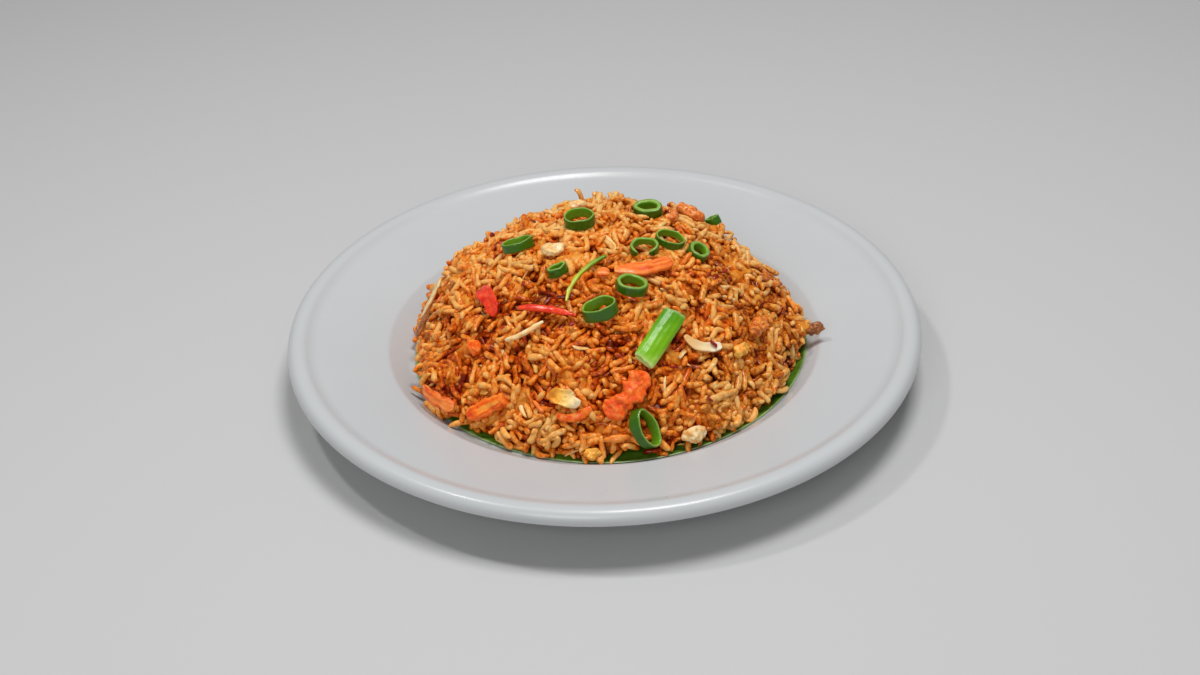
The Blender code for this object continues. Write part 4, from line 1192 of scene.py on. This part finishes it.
def make_toppings():
    ring = scallion_finish("scallion_ring", (0.040, 0.140, 0.002), (0.105, 0.26, 0.008), (0.45, 0.62, 0.14))
    stalk = scallion_finish("scallion_stalk", (0.19, 0.46, 0.006), (0.45, 0.68, 0.08), (0.80, 0.88, 0.50),
                            tip=(0.07, 0.28, 0.004), foot=(0.50, 0.74, 0.13))
    for number in range(1, 12):
        make_slice(f"scallion_ring_{number}", ring, seed=1.7 * number)
    make_slice("scallion_stalk", stalk, around=120, section=90, ribs=11, rib_depth=0.05,
               skew=0.10, wall_share=0.97)
    carrot = carrot_finish("carrot_cut", "fibre")
    soft_carrot = food_finish("soft_carrot", ((0.28, (0.78, 0.050, 0.003)), (0.43, (0.95, 0.105, 0.008)),
                                              (0.56, (0.97, 0.18, 0.02)), (0.72, (0.97, 0.34, 0.07))),
                              size=2.2, bump=0.9, Coat_Weight=0.15, Specular_IOR_Level=0.2)
    orange_pepper = food_finish("orange_pepper", ((0.3, (0.80, 0.055, 0.003)), (0.5, (0.94, 0.16, 0.012)),
                                                  (0.72, (0.96, 0.36, 0.05))), size=2.4, bump=0.4,
                                rough=(0.18, 0.32), Specular_IOR_Level=0.15)
    vivid_carrot = food_finish("vivid_carrot", ((0.2, (0.74, 0.045, 0.003)), (0.45, (0.94, 0.13, 0.008)),
                                                (0.65, (0.96, 0.26, 0.025)), (0.9, (0.97, 0.45, 0.07))),
                               size=2.0, bump=0.5, along="fibre", Specular_IOR_Level=0.15)
    onion = food_finish("onion", ((0.3, (0.80, 0.17, 0.010)), (0.5, (0.88, 0.27, 0.025)),
                                  (0.75, (0.90, 0.42, 0.09))), size=1.8, bump=0.4)
    red = food_finish("red_pepper", ((0.3, (0.55, 0.010, 0.004)), (0.52, (0.86, 0.045, 0.012)),
                                     (0.75, (0.93, 0.16, 0.05))), size=3.0, bump=0.2, rough=(0.18, 0.32))
    leek = food_finish("leek", ((0.1, (0.62, 0.66, 0.10)), (0.5, (0.42, 0.54, 0.03)),
                                (0.9, (0.14, 0.30, 0.008))), along="along", bump=0.2)
    white = food_finish("egg_white", ((0.3, (0.86, 0.34, 0.07)), (0.48, (0.92, 0.58, 0.22)),
                                      (0.68, (0.93, 0.80, 0.54))), size=2.2, bump=0.35)
    shredded = food_finish("white_shreds", ((0.3, (0.88, 0.42, 0.10)), (0.45, (0.92, 0.62, 0.26)),
                                            (0.62, (0.94, 0.78, 0.48))), size=2.2, bump=0.35)
    ribbon = food_finish("white_ribbon", ((0.1, (0.86, 0.46, 0.15)), (0.5, (0.90, 0.64, 0.32)),
                                          (0.9, (0.92, 0.80, 0.58))), size=3.0, bump=0.15, along="along")
    yolk = food_finish("egg_yolk", ((0.3, (0.84, 0.24, 0.015)), (0.5, (0.92, 0.42, 0.045)),
                                    (0.72, (0.94, 0.66, 0.17))), size=2.2, bump=0.5)
    meat = food_finish("fried_chicken", ((0.3, (0.40, 0.05, 0.006)), (0.5, (0.78, 0.20, 0.025)),
                                         (0.7, (0.92, 0.46, 0.13))), size=1.8, bump=0.5)
    crust = food_finish("crisp_crust", ((0.25, (0.10, 0.022, 0.006)), (0.5, (0.33, 0.10, 0.022)),
                                        (0.75, (0.62, 0.27, 0.08))), size=2.0, bump=0.6)
    tomato = food_finish("cooked_tomato", ((0.3, (0.36, 0.028, 0.004)), (0.5, (0.76, 0.20, 0.018)),
                                           (0.72, (0.88, 0.38, 0.06))), size=2.6, bump=0.6)
    pale = food_finish("cabbage", ((0.25, (0.72, 0.42, 0.13)), (0.5, (0.84, 0.62, 0.28)),
                                   (0.75, (0.88, 0.76, 0.46))), size=3.0, bump=0.25)
    strips = {
        "carrot_strip": (carrot, "carrot", {"power": 4.0, "rough": 0.25, "ragged": 0.15, "blunt": 9.0}),
        "carrot_shred": (carrot, "carrot", {"power": 3.0, "rough": 0.3}),
        "leek_strip": (leek, "leek", {"power": 2.4, "rough": 0.2}),
        "chilli_strip": (red, "pepper", {"power": 2.6, "rough": 0.2}),
        "pepper_curl": (red, "pepper", {"power": 3.0, "rough": 0.5, "curl": 0.8, "ragged": 0.45}),
        "carrot_stick": (vivid_carrot, "carrot", {"power": 3.6, "rough": 0.6, "ragged": 0.4, "blunt": 9.0}),
        "carrot_slice": (carrot, "carrot", {"power": 4.0, "rough": 0.35, "ragged": 0.35, "blunt": 7.0}),
        "carrot_chunk": (soft_carrot, "carrot", {"power": 2.6, "rough": 1.35, "ragged": 0.5, "blunt": 5.0}),
        "pepper_slip": (orange_pepper, "pepper", {"power": 2.6, "rough": 0.25}),
        "egg_white_strip": (ribbon, "egg", {"power": 3.2, "rough": 0.12, "ragged": 0.25, "curl": 0.6}),
        "cabbage_strip": (pale, "cabbage", {"power": 2.8, "rough": 0.3, "ragged": 0.2, "curl": 0.5}),
        "bean_sprout": (shredded, "cabbage", {"power": 2.4, "rough": 0.25, "ragged": 0.35}),
        "crisp_flake": (crust, "chicken", {"power": 2.6, "rough": 0.7, "ragged": 0.4}),
        "chicken_piece": (meat, "chicken", {"power": 2.4, "rough": 0.9, "ragged": 0.2}),
        "onion_slice": (onion, "carrot", {"power": 2.0, "rough": 0.5, "blunt": 3.0, "width": 0.5}),
    }
    for number, (name, (material, slot, shape)) in enumerate(strips.items()):
        make_strip(name, material, slot, seed=2.3 * number, **shape)
    lumps = {
        "pepper_bit": (orange_pepper, "pepper", {"rough": 0.7, "ridged": 0.4}),
        "egg_yolk_bit": (yolk, "egg", {"rough": 1.0, "ridged": 0.8}),
        "tomato_piece": (tomato, "chicken", {"rough": 1.3, "ridged": 1.0, "cell": 2.2}),
        "egg_lump": (white, "egg", {"rough": 0.7, "ridged": 0.8}),
        "egg_crumb": (yolk, "egg", {"rough": 0.9, "ridged": 0.7}),
        "crisp_piece": (crust, "chicken", {"rough": 0.9, "ridged": 0.6}),
        "chicken_bit": (meat, "chicken", {"rough": 1.1, "ridged": 0.7}),
        "egg_curd": (white, "egg", {"rough": 0.8, "ridged": 0.5}),
        "egg_white_bit": (white, "egg", {"rough": 0.6}),
    }
    for number, (name, (material, slot, shape)) in enumerate(lumps.items()):
        make_lump(name, material, slot, seed=3.1 * number, **shape)
    cup = food_finish("egg_cup", ((0.05, (0.94, 0.30, 0.015)), (0.30, (0.96, 0.46, 0.05)),
                                  (0.55, (0.97, 0.62, 0.18)), (0.90, (0.97, 0.78, 0.48))),
                      size=1.6, bump=0.8, rough=(0.35, 0.6), along="across", Subsurface_Weight=0.1,
                      Coat_Weight=0.1)
    make_fold("egg_fold", cup)


# ---------------------------------------------------------------- floor, light and camera

def make_stage():
    bpy.ops.mesh.primitive_plane_add(size=4.0, location=(0, 0, -0.0002))
    floor = bpy.context.object
    floor.name = "floor"
    material, tree, shader = finish("pale_floor", Roughness=0.75)
    shader.inputs["Base Color"].default_value = (0.55, 0.55, 0.55, 1.0)
    floor.data.materials.append(material)

    world = bpy.data.worlds.new("soft_studio")
    bpy.context.scene.world = world
    world.use_nodes = True
    world.node_tree.nodes["Background"].inputs["Color"].default_value = (1.0, 1.0, 1.0, 1.0)
    world.node_tree.nodes["Background"].inputs["Strength"].default_value = 0.22
    for name, place, size, power in (("key", (0.16, -0.03, 1.12), 0.36, 7.6),
                                     ("front", (-0.25, -0.95, 0.66), 0.45, 2.8),
                                     ("spark", (-0.42, 0.05, 0.95), 0.09, 2.0)):
        lamp = bpy.data.lights.new(name, "AREA")
        lamp.size = size
        lamp.energy = power
        light = bpy.data.objects.new(name, lamp)
        bpy.context.scene.collection.objects.link(light)
        light.location = place
        light.rotation_euler = (Vector((0, 0, 0.02)) - Vector(place)).to_track_quat("-Z", "Y").to_euler()
    bpy.context.scene.view_settings.view_transform = "Standard"


def make_camera():
    """Camera 0.7 m from the plate, 33.2 degrees above the table, turned 2.2 degrees about its view."""
    focal, elevation, roll, distance = 1627.0, math.radians(33.2), math.radians(2.16), 0.70
    target = Vector((0, 0, 24 * MM))
    target_offset = (3.3, 22.7)         # right of and above the middle of a picture 1200 wide
    back = Vector((0, -math.cos(elevation), math.sin(elevation)))
    right = Vector((1, 0, 0))
    up = back.cross(right)
    image_right = right * math.cos(roll) - up * math.sin(roll)
    image_up = right * math.sin(roll) + up * math.cos(roll)
    turn = Matrix((image_right, image_up, back)).transposed()
    ray = Vector((*target_offset, -focal)).normalized()
    aim = ray.rotation_difference(Vector((0, 0, -1))).to_matrix()
    camera = bpy.data.objects.new("camera", bpy.data.cameras.new("camera"))
    bpy.context.scene.collection.objects.link(camera)
    camera.data.sensor_width = 36.0
    camera.data.lens = focal / 1200 * 36.0
    camera.data.clip_start = 0.01
    camera.matrix_world = Matrix.Translation(target + back * distance) @ (turn @ aim).to_4x4()
    bpy.context.scene.camera = camera


make_plate()
make_leaf()
settled = scatter()
make_core(settled)
make_rice(settled)
make_toppings()
make_stage()
make_camera()
